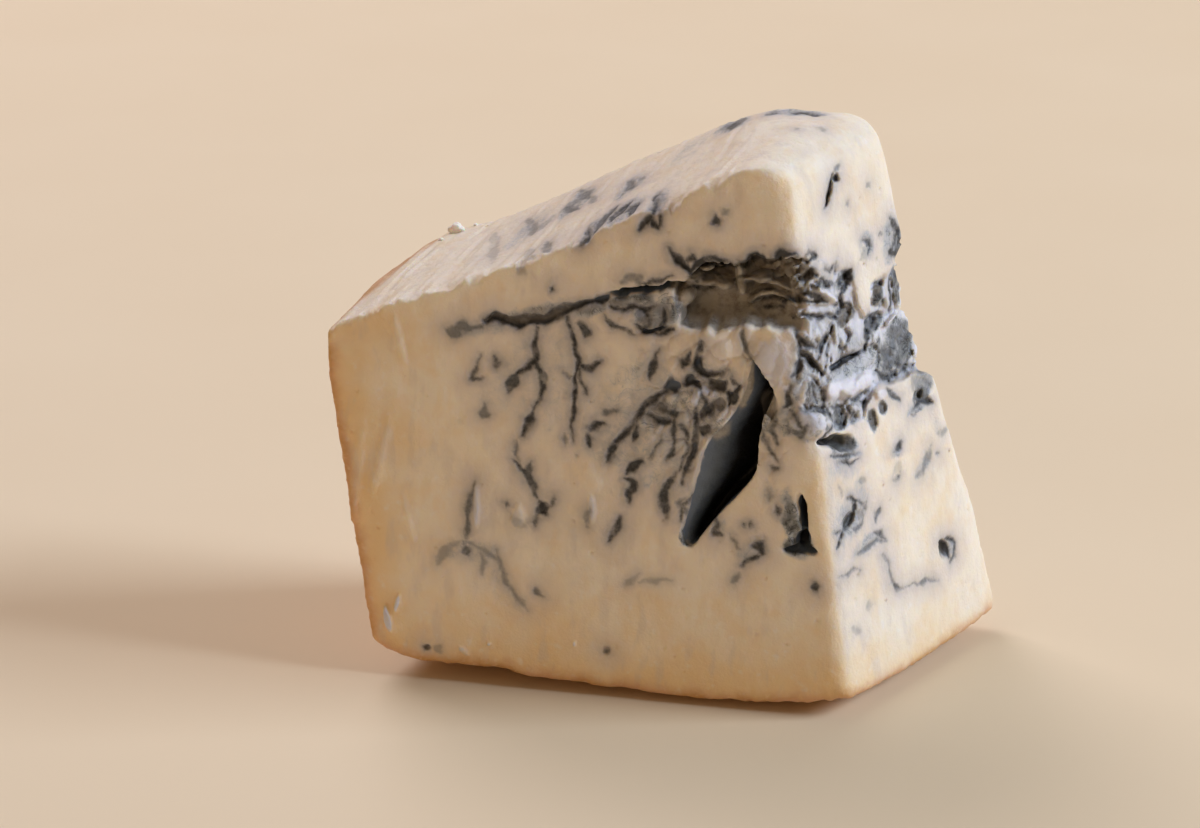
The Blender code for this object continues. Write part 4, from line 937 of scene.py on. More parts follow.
def slot_carve(x, y, z):
    """Signed distance inside the needle slot: a sloping left wall and a sharp right edge."""
    deep = y - plane_y(FRONT, x, z)
    ragged = 0.14 * noise((y * 0.5, z), 2.2, 141) + 0.06 * noise((y, z), 0.8, 142)
    left = np.interp(z, *zip(*SLOT_LEFT)).astype(np.float32) + ragged - 0.15
    right = np.interp(z, *zip(*SLOT_RIGHT)).astype(np.float32) - 0.7 * ragged + 0.25
    wide = np.maximum(right - left, 0.05)
    inward = np.clip((x - left) / wide, 0.0, 1.0)
    reach = SLOT_DEPTH * np.clip(wide / 5.0, 0.0, 1.0) ** 0.7
    floor = 0.6 + reach * (0.12 * inward + 0.88 * inward ** 2.4) + 0.1 * noise((y, z), 1.3, 143)
    wall = x - right - 0.10 * deep
    gap = soft_max(0.6 * (deep - floor), wall, 0.4)
    gap = soft_max(gap, left - x, 0.4)
    beyond = np.maximum(z - SLOT_LEFT[-1][0], SLOT_LEFT[0][0] - z)
    return np.maximum(gap, beyond)


def hollow_carve(along, deep, z, hollow):
    """Signed distance inside an egg-shaped hollow with an uneven wall."""
    a, b = turned(along, z, hollow)
    wobble = 0.24 * noise((along, deep, z), 1.1, 151)
    away = np.sqrt(a * a + b * b + (deep / hollow[5]) ** 2) + wobble
    return (away - 1.0) * min(hollow[2], hollow[3])


# ---------------------------------------------------------------- distance field

ROUND_TOP_RIGHT, ROUND_TOP_LEFT = 6.5, 1.6
ROUND_FRONT, ROUND_CORNER = 0.6, 1.9
ROUND_BACK, ROUND_FOOT = 0.8, 1.2
ROUND_BACK_RIGHT_LOW, ROUND_BACK_RIGHT_HIGH = 1.5, 6.0
ROUND_FROM_Z, ROUND_GROW_Z = 8.0, 34.0
TOP_STEEPNESS, FOOT_STEEPNESS = 0.93, 0.98
FIELD_LOW = np.array([-75.0, -1.4, -4.4])
FIELD_HIGH = np.array([18.0, 38.0, 77.4])
# Parts of the grid that hold the crack and the slot: low and high corner.
CRACK_BLOCK = ((-37.0, -1.0, 48.0), (-1.0, 15.0, 65.0))
SLOT_BLOCK = ((-26.0, -1.0, 19.0), (-9.0, 17.0, 49.0))
# Rounding of the carved edges, and how far inside the faces the folds in the crack stay.
ROUND_CRACK, ROUND_FILL, ROUND_FOLDS, ROUND_SLOT, ROUND_HOLLOW = 0.45, 0.4, 0.3, 0.3, 0.35
FILL_INSIDE = 0.35


def join_faces(front, back, left, right, top, foot, z):
    """Blend the six face distances into one."""
    high = ease((z - ROUND_FROM_Z) / ROUND_GROW_Z)
    back_right = ROUND_BACK_RIGHT_LOW + (ROUND_BACK_RIGHT_HIGH - ROUND_BACK_RIGHT_LOW) * high
    form = soft_max(top, right, ROUND_TOP_RIGHT)
    form = soft_max(form, left, ROUND_TOP_LEFT)
    corner = ease(0.5 + (right - top) / 5.0)
    form = soft_max(form, front, ROUND_FRONT + (ROUND_CORNER - ROUND_FRONT) * corner)
    form = soft_max(form, soft_max(right, back, back_right), ROUND_BACK)
    form = soft_max(form, back, ROUND_BACK)
    return soft_max(form, foot, ROUND_FOOT)


def block_of(axes, low, high):
    """Slices and open coordinates of the part of the grid between two corners."""
    slices = tuple(slice(int(np.searchsorted(axis, a)), int(np.searchsorted(axis, b)))
                   for axis, a, b in zip(axes, low, high))
    x, y, z = (axis[part] for axis, part in zip(axes, slices))
    return slices, x[:, None, None], y[None, :, None], z[None, None, :]


def carve_hollow(field, axes, hollow, on_front):
    """Let one hollow into the field."""
    reach = max(hollow[2], hollow[3]) * 1.5 + 0.8
    along, up, deep = hollow[0], hollow[1], hollow[5] * 1.4 + 1.0
    if on_front:
        face = plane_y(FRONT, along, up)
        low, high = (along - reach, face - 2.5, up - reach), (along + reach, face + deep, up + reach)
    else:
        face = plane_x(RIGHT, along, up)
        low = (face - deep - 0.5 * reach, along - reach, up - reach)
        high = (face + 2.5 + 0.5 * reach, along + reach, up + reach)
    slices, x, y, z = block_of(axes, low, high)
    depth = y - plane_y(FRONT, x, z) if on_front else (plane_x(RIGHT, y, z) - x) * RIGHT[1][0]
    gap = hollow_carve(x if on_front else y, depth, z, hollow)
    field[slices] = soft_max(field[slices], -gap, ROUND_HOLLOW)


RIGHT_TABLE = make_right_table()
# How far a place can lie behind and before its face for the drawing of that side.
SUNK_MOST, FRONT_SUNK_MOST, RAISED_MOST = 5.0, 8.0, 1.5


def make_field():
    """Signed distance on a grid, and the grid's axes."""
    axes = [np.arange(low, high, GRID, dtype=np.float32)
            for low, high in zip(FIELD_LOW, FIELD_HIGH)]
    xs, ys, zs = axes
    x, y, z = xs[:, None, None], ys[None, :, None], zs[None, None, :]
    x_of_xz, z_of_xz = np.meshgrid(xs, zs, indexing="ij")
    y_of_yz, z_of_yz = np.meshgrid(ys, zs, indexing="ij")
    x_of_xy, y_of_xy = np.meshgrid(xs, ys, indexing="ij")
    front = plane_value(FRONT, x, y, z) + front_relief(x_of_xz, z_of_xz)[:, None, :]
    back = plane_value(BACK, x, y, z) + back_relief(x_of_xz, z_of_xz)[:, None, :]
    bulge = LEFT_BULGE * bell((y_of_yz - LEFT_BULGE_Y) / LEFT_BULGE_HALF)
    left = plane_value(LEFT, x, y, z) + (rind_relief(y_of_yz, z_of_yz, 161) - bulge)[None, :, :]
    right = plane_value(RIGHT, x, y, z).astype(np.float32)
    near = np.nonzero(np.abs(right) < SUNK_MOST + 1.0)
    sunk = np.clip(-right[near], -RAISED_MOST, SUNK_MOST)
    right[near] += read_right(RIGHT_TABLE, ys[near[1]], zs[near[2]], sunk)
    height = top_height(x_of_xy, y_of_xy) - top_relief(x_of_xy, y_of_xy)
    top = TOP_STEEPNESS * (z - height[:, :, None])
    foot = FOOT_STEEPNESS * (foot_height(x_of_xy, y_of_xy)[:, :, None] - z)
    field = join_faces(front, back, left, right, top, foot, z).astype(np.float32)
    slices, x, y, z = block_of(axes, *CRACK_BLOCK)
    whole = field[slices].copy()
    carved = soft_max(whole, -crack_carve(x, y, z), ROUND_CRACK)
    fill = soft_max(crack_fill(x, y, z), whole + FILL_INSIDE, ROUND_FILL)
    field[slices] = soft_min(carved, fill, ROUND_FOLDS)
    slices, x, y, z = block_of(axes, *SLOT_BLOCK)
    field[slices] = soft_max(field[slices], -slot_carve(x, y, z), ROUND_SLOT)
    for hollow in FRONT_HOLLOWS:
        carve_hollow(field, axes, hollow, True)
    for hollow in RIGHT_HOLLOWS:
        carve_hollow(field, axes, hollow, False)
    return field, axes


# ---------------------------------------------------------------- mesh from the field

def surface_of(field, axes):
    """Points and four-sided faces of the zero level, one point for each cell that it crosses."""
    shape = np.array(field.shape)
    cell_shape = shape - 1
    inside = field < 0.0
    sums = [np.zeros(int(cell_shape.prod()), np.float64) for _ in range(3)]
    counts = np.zeros(int(cell_shape.prod()), np.int32)
    quads = []
    for axis in range(3):
        one, two = (axis + 1) % 3, (axis + 2) % 3
        head = [slice(None)] * 3
        tail = [slice(None)] * 3
        head[axis], tail[axis] = slice(0, -1), slice(1, None)
        crossed = inside[tuple(head)] != inside[tuple(tail)]
        places = np.nonzero(crossed)
        start = field[tuple(head)][places]
        end = field[tuple(tail)][places]
        share = start / (start - end)
        position = [axes[n][places[n]].astype(np.float64) for n in range(3)]
        position[axis] += share * GRID
        corners = []
        for back_one, back_two in ((1, 1), (0, 1), (0, 0), (1, 0)):
            cell = [places[0].copy(), places[1].copy(), places[2].copy()]
            cell[one] = cell[one] - back_one
            cell[two] = cell[two] - back_two
            number = np.ravel_multi_index(cell, cell_shape, mode="clip")
            corners.append(number)
            for n in range(3):
                sums[n] += np.bincount(number, position[n], len(counts))
            counts += np.bincount(number, minlength=len(counts)).astype(np.int32)
        quad = np.stack(corners, 1)
        flip = start > 0.0
        quad[flip] = quad[flip][:, ::-1]
        quads.append(quad)
    quads = np.concatenate(quads)
    used, quads = np.unique(quads, return_inverse=True)
    quads = quads.reshape(-1, 4)
    points = np.stack([total[used] / counts[used] for total in sums], 1)
    return points, quads


LABEL_ROUNDS = 200


def largest_piece(points, quads):
    """Drop loose specks: keep the faces joined to the most points."""
    label = np.arange(len(points))
    for _ in range(LABEL_ROUNDS):
        lowest = label[quads].min(1)
        after = label.copy()
        for corner in range(4):
            np.minimum.at(after, quads[:, corner], lowest)
        after = after[after]
        if (after == label).all():
            break
        label = after
    names, counts = np.unique(label, return_counts=True)
    keep = label == names[counts.argmax()]
    number = np.cumsum(keep) - 1
    return points[keep], number[quads[keep[quads[:, 0]]]]


def mesh_object(name, points, faces):
    """Smooth-shaded object from points in mm and faces."""
    mesh = bpy.data.meshes.new(name)
    mesh.from_pydata((points + ORIGIN) * MM, [], faces.tolist())
    mesh.validate()
    mesh.shade_smooth()
    item = bpy.data.objects.new(name, mesh)
    bpy.context.scene.collection.objects.link(item)
    return item


def thin_out(item, limit, detail):
    """Collapse edges until the mesh is under the triangle limit, last where the detail is."""
    triangles = sum(len(face.vertices) - 2 for face in item.data.polygons)
    if triangles <= limit:
        return
    group = item.vertex_groups.new(name="plain")
    steps = np.round((1.0 - np.clip(detail, 0.0, 1.0)) * DETAIL_STEPS).astype(int)
    for step in range(DETAIL_STEPS + 1):
        group.add(np.nonzero(steps == step)[0].tolist(), step / DETAIL_STEPS, "REPLACE")
    modifier = item.modifiers.new("thin", "DECIMATE")
    modifier.ratio = limit / triangles
    modifier.vertex_group = group.name
    modifier.vertex_group_factor = DETAIL_COST
    evaluated = item.evaluated_get(bpy.context.evaluated_depsgraph_get())
    mesh = bpy.data.meshes.new_from_object(evaluated)
    item.modifiers.clear()
    item.data = mesh
    item.vertex_groups.clear()
    mesh.shade_smooth()


# ---------------------------------------------------------------- what each point carries

# How deep the rind's colour and the riper paste reach, and how wide the near corner is tinted.
RIND_EDGE, RIPE_EDGE, CORNER_TINT = 2.0, 11.0, 1.8
# Height of the crack at the near corner, where the tint is left out: middle and half height.
UNTINTED_Z, UNTINTED_HALF = 49.0, 12.0
# How sharply the faces' colours give way to each other at an edge.
FACE_SHARPNESS = 4.0

# Mould spread over the surface: along, up, half sizes, lean, amount. The darkest patches sit in holes and
# pockets, where they are partly mould and partly painted shade.
FRONT_MOULD = (
    (-27.0, 38.0, 13.0, 11.0, 10.0, 0.23), (-42.0, 42.0, 12.0, 9.0, 8.0, 0.16),
    (-40.0, 22.0, 18.0, 12.0, 8.0, 0.10),
    (-21.0, 42.6, 5.6, 5.0, 30.0, 0.34), (-27.0, 39.2, 3.8, 2.2, 30.0, 0.52),
    (-19.8, 38.2, 3.2, 2.4, 30.0, 0.44), (-23.6, 32.0, 2.6, 6.0, -16.0, 0.22),
    (-19.2, 43.3, 1.5, 0.9, 20.0, 0.75), (-18.8, 40.8, 1.0, 1.3, -20.0, 0.72),
    (-28.0, 52.6, 4.0, 2.4, 14.0, 0.86), (-31.6, 54.2, 4.0, 0.9, 14.0, 0.70),
    (-7.2, 39.0, 2.8, 2.6, 0.0, 0.50),
    (-41.0, 52.0, 10.0, 1.3, 13.0, 0.50), (-52.6, 48.9, 4.6, 1.4, 6.0, 0.26),
    (-21.4, 58.2, 2.0, 1.2, 20.0, 0.60), (-13.2, 58.8, 3.2, 1.4, 10.0, 0.60),
    (-26.0, 53.4, 2.6, 2.6, 0.0, 0.66), (-9.6, 59.0, 2.4, 3.2, 0.0, 0.62),
    (-12.0, 46.8, 3.0, 4.6, 8.0, 0.10), (-8.4, 46.0, 1.2, 5.0, -8.0, 0.50),
    (-12.4, 40.2, 1.3, 3.2, 12.0, 0.50), (-8.6, 25.2, 1.5, 4.8, 10.0, 0.50),
    (-7.4, 21.6, 2.8, 1.6, 0.0, 0.80),
    (-22.8, 21.8, 1.3, 1.6, -22.0, 0.66), (-53.4, 17.0, 5.6, 2.2, 14.0, 0.20),
    (-49.0, 12.6, 2.0, 4.0, 24.0, 0.16), (-45.2, 28.0, 2.6, 5.0, 20.0, 0.16),
    (-38.8, 44.0, 2.2, 5.6, 0.0, 0.16), (-44.6, 44.0, 2.4, 4.6, 0.0, 0.18),
    (-36.0, 36.0, 2.2, 1.8, 0.0, 0.20), (-31.0, 29.6, 2.4, 3.6, 14.0, 0.24),
    (-9.6, 39.6, 1.8, 2.6, 0.0, 0.40), (-13.6, 20.6, 2.4, 1.4, 20.0, 0.30),
    (-18.6, 23.8, 1.6, 2.2, 10.0, 0.24), (-11.6, 28.6, 1.2, 2.0, 10.0, 0.22),
)
RIGHT_MOULD = (
    (7.0, 48.0, 10.0, 9.0, 0.0, 0.16), (20.9, 44.5, 4.8, 4.3, -8.0, 0.72), (11.8, 44.5, 5.8, 1.7, 3.0, 0.40),
    (2.5, 51.2, 2.8, 0.8, -48.0, 0.66), (6.4, 49.8, 2.8, 0.7, 38.0, 0.60),
    (2.6, 48.4, 3.0, 1.0, -58.0, 0.68),
    (0.6, 60.2, 5.0, 2.2, -8.0, 0.60), (4.7, 59.4, 2.2, 1.7, -10.0, 0.72),
    (8.4, 58.8, 2.4, 1.6, -20.0, 0.26),
    (8.4, 56.8, 1.8, 0.6, -8.0, 0.70), (12.3, 56.3, 2.2, 1.4, 24.0, 0.74),
    (11.3, 51.8, 2.2, 1.8, -14.0, 1.00),
    (9.0, 49.4, 0.8, 2.0, -8.0, 0.26), (18.6, 52.6, 1.6, 1.8, 0.0, 0.76), (22.9, 52.1, 0.9, 3.2, 0.0, 0.66),
    (17.3, 49.0, 2.5, 1.6, 0.0, 0.86), (12.6, 47.2, 2.4, 1.2, -14.0, 0.30), (9.6, 45.6, 3.4, 0.6, 3.0, 0.80),
    (2.8, 43.3, 2.6, 2.1, 0.0, 0.52), (0.6, 39.2, 5.0, 2.5, -12.0, 0.50), (2.4, 22.0, 2.6, 15.0, 0.0, 0.12),
    (5.4, 35.6, 2.5, 1.1, -10.0, 0.80), (7.6, 34.5, 2.5, 1.4, -20.0, 0.66),
    (7.2, 33.2, 3.2, 0.9, -18.0, 0.55), (26.3, 12.8, 1.0, 1.6, 0.0, 0.34),
    (7.1, 38.3, 1.6, 2.1, 0.0, 0.80),
    (10.4, 38.3, 2.2, 1.7, 0.0, 0.40), (13.6, 36.0, 1.3, 2.0, 8.0, 0.70), (15.9, 37.0, 1.1, 1.3, 0.0, 0.66),
    (24.4, 36.0, 2.3, 1.5, 20.0, 0.72), (24.4, 36.0, 1.2, 0.9, 20.0, 1.10),
    (25.6, 37.9, 2.3, 2.0, 0.0, 0.44),
    (23.4, 58.8, 2.4, 3.4, -30.0, 0.40), (5.8, 31.6, 4.4, 1.6, -15.0, 0.20),
    (2.6, 26.4, 1.8, 6.0, 0.0, 0.12),
    (5.2, 24.2, 3.0, 3.2, 30.0, 0.34), (9.0, 20.0, 4.2, 1.3, 6.0, 0.28),
    (24.8, 13.0, 0.9, 1.8, 14.0, 0.95), (12.8, 69.4, 1.4, 2.0, 30.0, 0.16),
    (17.8, 59.6, 1.8, 2.0, 0.0, 0.34), (17.8, 41.0, 2.0, 0.7, -24.0, 0.70),
    (18.8, 37.9, 2.2, 0.5, -42.0, 0.40), (8.0, 27.0, 3.0, 2.6, 20.0, 0.22),
    (23.6, 34.6, 3.2, 0.9, 0.0, 0.50), (27.0, 31.0, 1.4, 2.2, 20.0, 0.16),
    (22.6, 26.2, 2.8, 1.2, 30.0, 0.24),
    (17.8, 30.4, 1.4, 1.2, 0.0, 0.30), (12.2, 15.4, 1.0, 3.4, 0.0, 0.14),
)
TOP_MOULD = (
    (-48.6, 18.0, 2.4, 7.0, -14.0, 0.22), (-42.2, 20.6, 2.4, 5.0, -14.0, 0.46),
    (-34.0, 16.6, 2.0, 3.6, -14.0, 0.34), (-33.4, 7.4, 3.0, 3.6, -20.0, 0.34),
    (-37.4, 5.6, 1.6, 4.0, -10.0, 0.34), (-43.2, 6.0, 2.2, 5.6, -12.0, 0.10),
    (-53.4, 12.0, 3.0, 9.0, -12.0, 0.12), (-40.0, 12.0, 22.0, 12.0, 0.0, 0.08),
    (-28.4, 6.4, 1.4, 4.0, -12.0, 0.36),
    (-21.2, 25.0, 2.6, 3.2, 0.0, 0.55), (-13.0, 25.4, 5.0, 1.8, 0.0, 0.46),
    (-27.0, 22.0, 2.4, 6.0, -14.0, 0.18),
)
# Brown tint, in the same way. It lies mostly in pockets and hollows and is partly brownish curd, partly
# painted shade.
FRONT_BROWN = ((-44.0, 51.4, 8.0, 1.6, 10.0, 0.5), (-15.6, 44.0, 1.4, 4.0, -14.0, 0.8),
               (-12.2, 40.6, 1.3, 3.2, 12.0, 0.9), (-19.6, 37.4, 2.6, 2.0, 20.0, 0.5),
               (-19.2, 42.6, 2.0, 3.0, 0.0, 0.5), (-26.6, 40.2, 3.0, 2.0, 20.0, 0.4),
               (-10.6, 46.2, 2.0, 5.0, 0.0, 0.3))
RIGHT_BROWN = ((4.0, 55.6, 6.0, 1.2, -15.0, 0.9),
               (11.5, 51.5, 1.8, 1.7, -14.0, 0.9), (10.9, 49.2, 1.1, 1.2, 0.0, 1.0),
               (13.6, 36.0, 1.4, 2.0, 8.0, 0.6), (15.9, 37.0, 1.0, 1.4, 0.0, 0.6),
               (18.7, 53.2, 1.6, 1.4, 0.0, 0.7), (2.4, 43.4, 3.0, 2.0, 0.0, 0.5),
               (1.4, 46.4, 1.4, 2.0, 0.0, 0.5))


def painted(u, v, patches, seed):
    """Largest amount of the patches at each place, with uneven rims."""
    wobble = 0.22 * noise((u, v), 1.7, seed) + 0.14 * noise((u, v), 0.8, seed + 1)
    total = 0.0
    for patch in patches:
        a, b = turned(u, v, patch)
        total = np.maximum(total, patch[5] * ease((1.15 - np.sqrt(a * a + b * b) + wobble) / 0.6))
    return total


def crack_share(x, y, z):
    """One inside the open crack, fading where it runs out on the right side."""
    ragged = 0.5 * noise((x, y, z), 1.4, 177) + 0.3 * noise((x, y, z), 0.6, 178)
    high = ease((crack_roof(x) + 1.2 - z) / 0.8) * ease((z - crack_floor(x) + 1.6) / 0.8)
    ends = ease((x + 27.0 + ragged) / 1.6) * ease((-6.6 - x + 1.5 * ragged) / 3.4)
    return high * ends * ease((y + 0.3 * ragged - 0.5) / 0.6) * ease((14.0 - y) / 3.0)


def slot_share(x, z, deep):
    """One on the walls of the needle slot."""
    left, right = (np.interp(z, *zip(*side)) for side in (SLOT_LEFT, SLOT_RIGHT))
    across = ease((x - left + 0.15) / 0.3) * ease((right + 0.5 + 0.1 * deep - x) / 0.3)
    return across * ease((deep - 0.3) / 0.4) * ease((z - 20.6) / 0.6) * ease((47.2 - z) / 0.6)


# The one value that steers the thinning of the mesh and that the material doesn't read.
RIGHT_SHARE = "right_share"


def surface_values(points):
    """Per-point values that the material reads."""
    x, y, z = (points[:, n].astype(np.float32) for n in range(3))
    faces = {
        "front": plane_value(FRONT, x, y, z), "back": plane_value(BACK, x, y, z),
        "left": plane_value(LEFT, x, y, z), "right": plane_value(RIGHT, x, y, z),
        "top": TOP_STEEPNESS * (z - top_height(x, y)),
        "foot": FOOT_STEEPNESS * (foot_height(x, y) - z),
    }
    body = join_faces(*(faces[name] for name in ("front", "back", "left", "right", "top", "foot")), z)
    front_sunk = np.clip(-faces["front"], -RAISED_MOST, FRONT_SUNK_MOST)
    right_sunk = np.clip(-faces["right"], -RAISED_MOST, SUNK_MOST)
    seen_front = drawn_place(x, z, front_sunk, FRONT_SLANT)
    seen_right = drawn_place(y, z, right_sunk, RIGHT_SLANT)
    weights = dict(faces)
    weights["front"] = faces["front"] + front_relief(x, z)
    weights["right"] = faces["right"] + read_right(RIGHT_TABLE, y, z, right_sunk)
    outer = np.max(np.stack(list(weights.values())), 0)
    weights = {name: np.exp(np.clip(FACE_SHARPNESS * (value - outer), -30.0, 0.0))
               for name, value in weights.items()}
    total = sum(weights.values())
    weights = {name: value / total for name, value in weights.items()}
    edge, dark = 0.0, 0.0
    maps = (("front", *seen_front, FRONT_VEINS), ("right", *seen_right, RIGHT_VEINS),
            ("top", x, y, TOP_VEINS), ("back", x, z, BACK_VEINS))
    for name, u, v, veins in maps:
        face_edge, face_dark, _ = vein_fields(u, v, veins)
        edge = edge + weights[name] * np.clip(face_edge, -VEIN_REACH, VEIN_INSIDE_MOST)
        dark = dark + weights[name] * face_dark
    rest = weights["left"] + weights["foot"]
    edge = edge - VEIN_REACH * rest
    on_front = painted(*seen_front, FRONT_MOULD, 171)
    mould = (weights["front"] * on_front
             + weights["right"] * painted(*seen_right, RIGHT_MOULD, 172)
             + weights["top"] * painted(x, y, TOP_MOULD, 173)
             + weights["back"] * painted(x, z, BACK_MOULD, 174))
    brown = (weights["front"] * painted(*seen_front, FRONT_BROWN, 175)
             + weights["right"] * painted(*seen_right, RIGHT_BROWN, 176))
    raised = (weights["front"] * mound_relief(x, z, FRONT_MOUNDS, 41)
              + weights["right"] * mound_relief(*seen_right, RIGHT_MOUNDS, 43))
    # Crease: the torn band's gaps between flakes, which the material darkens.
    crease = weights["right"] * torn_share(*seen_right) * torn_detail(*seen_right)[1]
    open_crack = crack_share(x, y, z)
    # The open crack takes the front's mould and a brown that is partly brownish curd, partly painted shade.
    mould = mould + open_crack * (on_front - mould)
    brown = np.maximum(brown, open_crack)
    inward = np.maximum(-np.maximum(faces["left"], faces["foot"]), 0.0)
    rind, ripe = np.exp(-inward / RIND_EDGE), np.exp(-inward / RIPE_EDGE)
    # Beyond ripeness near the rind, the paste is made less yellow on the right side and far less on the top,
    # and yellower in a narrow band along the near corner edge, except at the crack's height.
    ripe = ripe * (1.0 - 0.25 * weights["right"] - 0.7 * weights["top"])
    near_corner = (np.exp(-np.abs(faces["right"]) / CORNER_TINT)
                   * ease((np.abs(z - UNTINTED_Z) - UNTINTED_HALF) / 4.0))
    ripe = np.maximum(ripe, 0.9 * near_corner * (weights["front"] + 0.4 * weights["right"]))
    torn = weights["right"] * torn_share(*seen_right) * (1.0 - open_crack)
    # Cavity depth: how far a place lies inside the smooth body, on the slot's walls by their depth, and up
    # to 2.4 mm deeper in the torn band. The material darkens these places towards black with it: painted
    # shade, over the mould that the hollows hold.
    in_slot = slot_share(x, z, front_sunk) * ease((SLOT_DEPTH + 3.0 + faces["front"]) / 2.0)
    sunk = np.maximum(-body - 2.4 * torn, in_slot * (1.5 + 0.5 * front_sunk))
    return {"vein": edge, "dark": dark, "rind": rind, "cavity_shade": np.maximum(sunk, 0.0),
            "mould": mould, "brown": brown, "raised": raised, "crease": crease, "ripe": ripe,
            "torn": torn, "shade": weights["front"], RIGHT_SHARE: weights["right"]}


def detail_share(points):
    """How much each point needs a fine mesh: veins, mould and broken curd on the seen sides."""
    values = surface_values(points)
    front_right = np.maximum(values["shade"], values[RIGHT_SHARE])
    veined = ease((values["vein"] + 0.9) / 0.5) * ease(values["dark"] / 0.3)
    broken = np.maximum(ease(values["crease"] / 0.4), ease(values["cavity_shade"] / 1.0))
    needed = np.maximum(np.maximum(veined, 0.6 * broken), ease((values["mould"] - 0.2) / 0.3))
    return front_right * (0.1 + 0.9 * needed) + 0.3 * (1.0 - front_right) * veined


def inner_box():
    """Low and high corner of the CAD box, a little inside."""
    low, high = (np.array(corner[:]) / MM - ORIGIN for corner in CAD_BOX)
    return low + BOX_MARGIN, high - BOX_MARGIN


def store_values(item):
    """Keep the points in the CAD box and write their values to the mesh as attributes."""
    count = len(item.data.vertices)
    points = np.empty(count * 3, np.float64)
    item.data.vertices.foreach_get("co", points)
    points = points.reshape(-1, 3) / MM - ORIGIN
    points = np.clip(points, *inner_box())
    item.data.vertices.foreach_set("co", ((points + ORIGIN) * MM).ravel())
    for name, values in surface_values(points).items():
        if name != RIGHT_SHARE:
            layer = item.data.attributes.new(name, "FLOAT", "POINT")
            layer.data.foreach_set("value", np.ascontiguousarray(values, np.float32))


# ---------------------------------------------------------------- materials

def linear(red, green, blue):
    """Linear colour from 0..255 display values."""
    out = []
    for value in (red, green, blue):
        value = value / 255.0
        out.append(value / 12.92 if value <= 0.04045 else ((value + 0.055) / 1.055) ** 2.4)
    return (*out, 1.0)


class Nodes:
    """Short ways to add and link shader nodes."""

    def __init__(self, name):
        self.material = bpy.data.materials.new(name)
        self.material.use_nodes = True
        self.tree = self.material.node_tree
        self.shader = self.tree.nodes["Principled BSDF"]

    def put(self, socket, value):
        """Set or link one input."""
        if isinstance(value, bpy.types.NodeSocket):
            self.tree.links.new(value, socket)
        else:
            socket.default_value = value

    def attribute(self, name):
        """Value that the mesh carries at each point."""
        node = self.tree.nodes.new("ShaderNodeAttribute")
        node.attribute_name = name
        return node.outputs["Fac"]

    def place(self, scale=(1.0, 1.0, 1.0)):
        """Object coordinates in mm, scaled."""
        node = self.tree.nodes.new("ShaderNodeTexCoord")
        mapping = self.tree.nodes.new("ShaderNodeMapping")
        mapping.inputs["Scale"].default_value = [value / MM for value in scale]
        self.tree.links.new(node.outputs["Object"], mapping.inputs["Vector"])
        return mapping.outputs["Vector"]

    def noise(self, size, detail=3.0, scale=(1.0, 1.0, 1.0), rough=0.5, warp=0.0):
        """Noise in 0..1 with features about size mm wide."""
        node = self.tree.nodes.new("ShaderNodeTexNoise")
        node.inputs["Scale"].default_value = 1.0 / size
        node.inputs["Detail"].default_value = detail
        node.inputs["Roughness"].default_value = rough
        node.inputs["Distortion"].default_value = warp
        self.tree.links.new(self.place(scale), node.inputs["Vector"])
        return node.outputs["Fac"]

    def wisps(self, size, low):
        """Thin branching lines, in 0..1, about size mm apart."""
        value = self.noise(size, 3.0, rough=0.55, warp=1.1)
        return self.span(self.math("ABSOLUTE", self.math("SUBTRACT", value, 0.5)), 0.0, low, 1.0, 0.0)

    def math(self, operation, first, second=0.0, third=0.0):
        """One step of arithmetic."""
        node = self.tree.nodes.new("ShaderNodeMath")
        node.operation = operation
        for socket, value in zip(node.inputs, (first, second, third)):
            self.put(socket, value)
        return node.outputs[0]

    def span(self, value, low, high, start=0.0, end=1.0):
        """Smooth step of a value between two limits."""
        node = self.tree.nodes.new("ShaderNodeMapRange")
        node.interpolation_type = "SMOOTHSTEP"
        for name, item in (("Value", value), ("From Min", low), ("From Max", high),
                           ("To Min", start), ("To Max", end)):
            self.put(node.inputs[name], item)
        return node.outputs["Result"]

    def mix(self, factor, first, second):
        """Mix two colours."""
        node = self.tree.nodes.new("ShaderNodeMix")
        node.data_type = "RGBA"
        self.put(node.inputs["Factor"], factor)
        self.put(node.inputs[6], first)
        self.put(node.inputs[7], second)
        return node.outputs[2]

    def bump(self, height, distance, strength=1.0, normal=None):
        """Normal of small relief, distance mm high, over another normal."""
        node = self.tree.nodes.new("ShaderNodeBump")
        node.inputs["Distance"].default_value = distance * MM
        node.inputs["Strength"].default_value = strength
        self.put(node.inputs["Height"], height)
        if normal is not None:
            self.put(node.inputs["Normal"], normal)
        return node.outputs["Normal"]


CREAM, CREAM_YELLOW = linear(246, 236, 221), linear(242, 213, 166)
FAT_WHITE = linear(248, 247, 247)
# Curd blue tints the torn band; the other blue is the curd's bluer copy for the shaded front.
CURD_BLUE, SHADE_SIDE_CURD_BLUE = linear(214, 220, 238), linear(208, 216, 240)
CURD_WHITE = linear(232, 231, 240)
MOULD_PALE, MOULD_GREY = linear(188, 190, 194), linear(118, 122, 126)
MOULD_DARK, HALO = linear(46, 48, 52), linear(164, 163, 168)
# Tan and brown of the crack and pockets: partly brownish curd, partly painted shade.
TAN_AND_SHADE, BROWN_AND_SHADE = linear(178, 173, 166), linear(132, 124, 115)
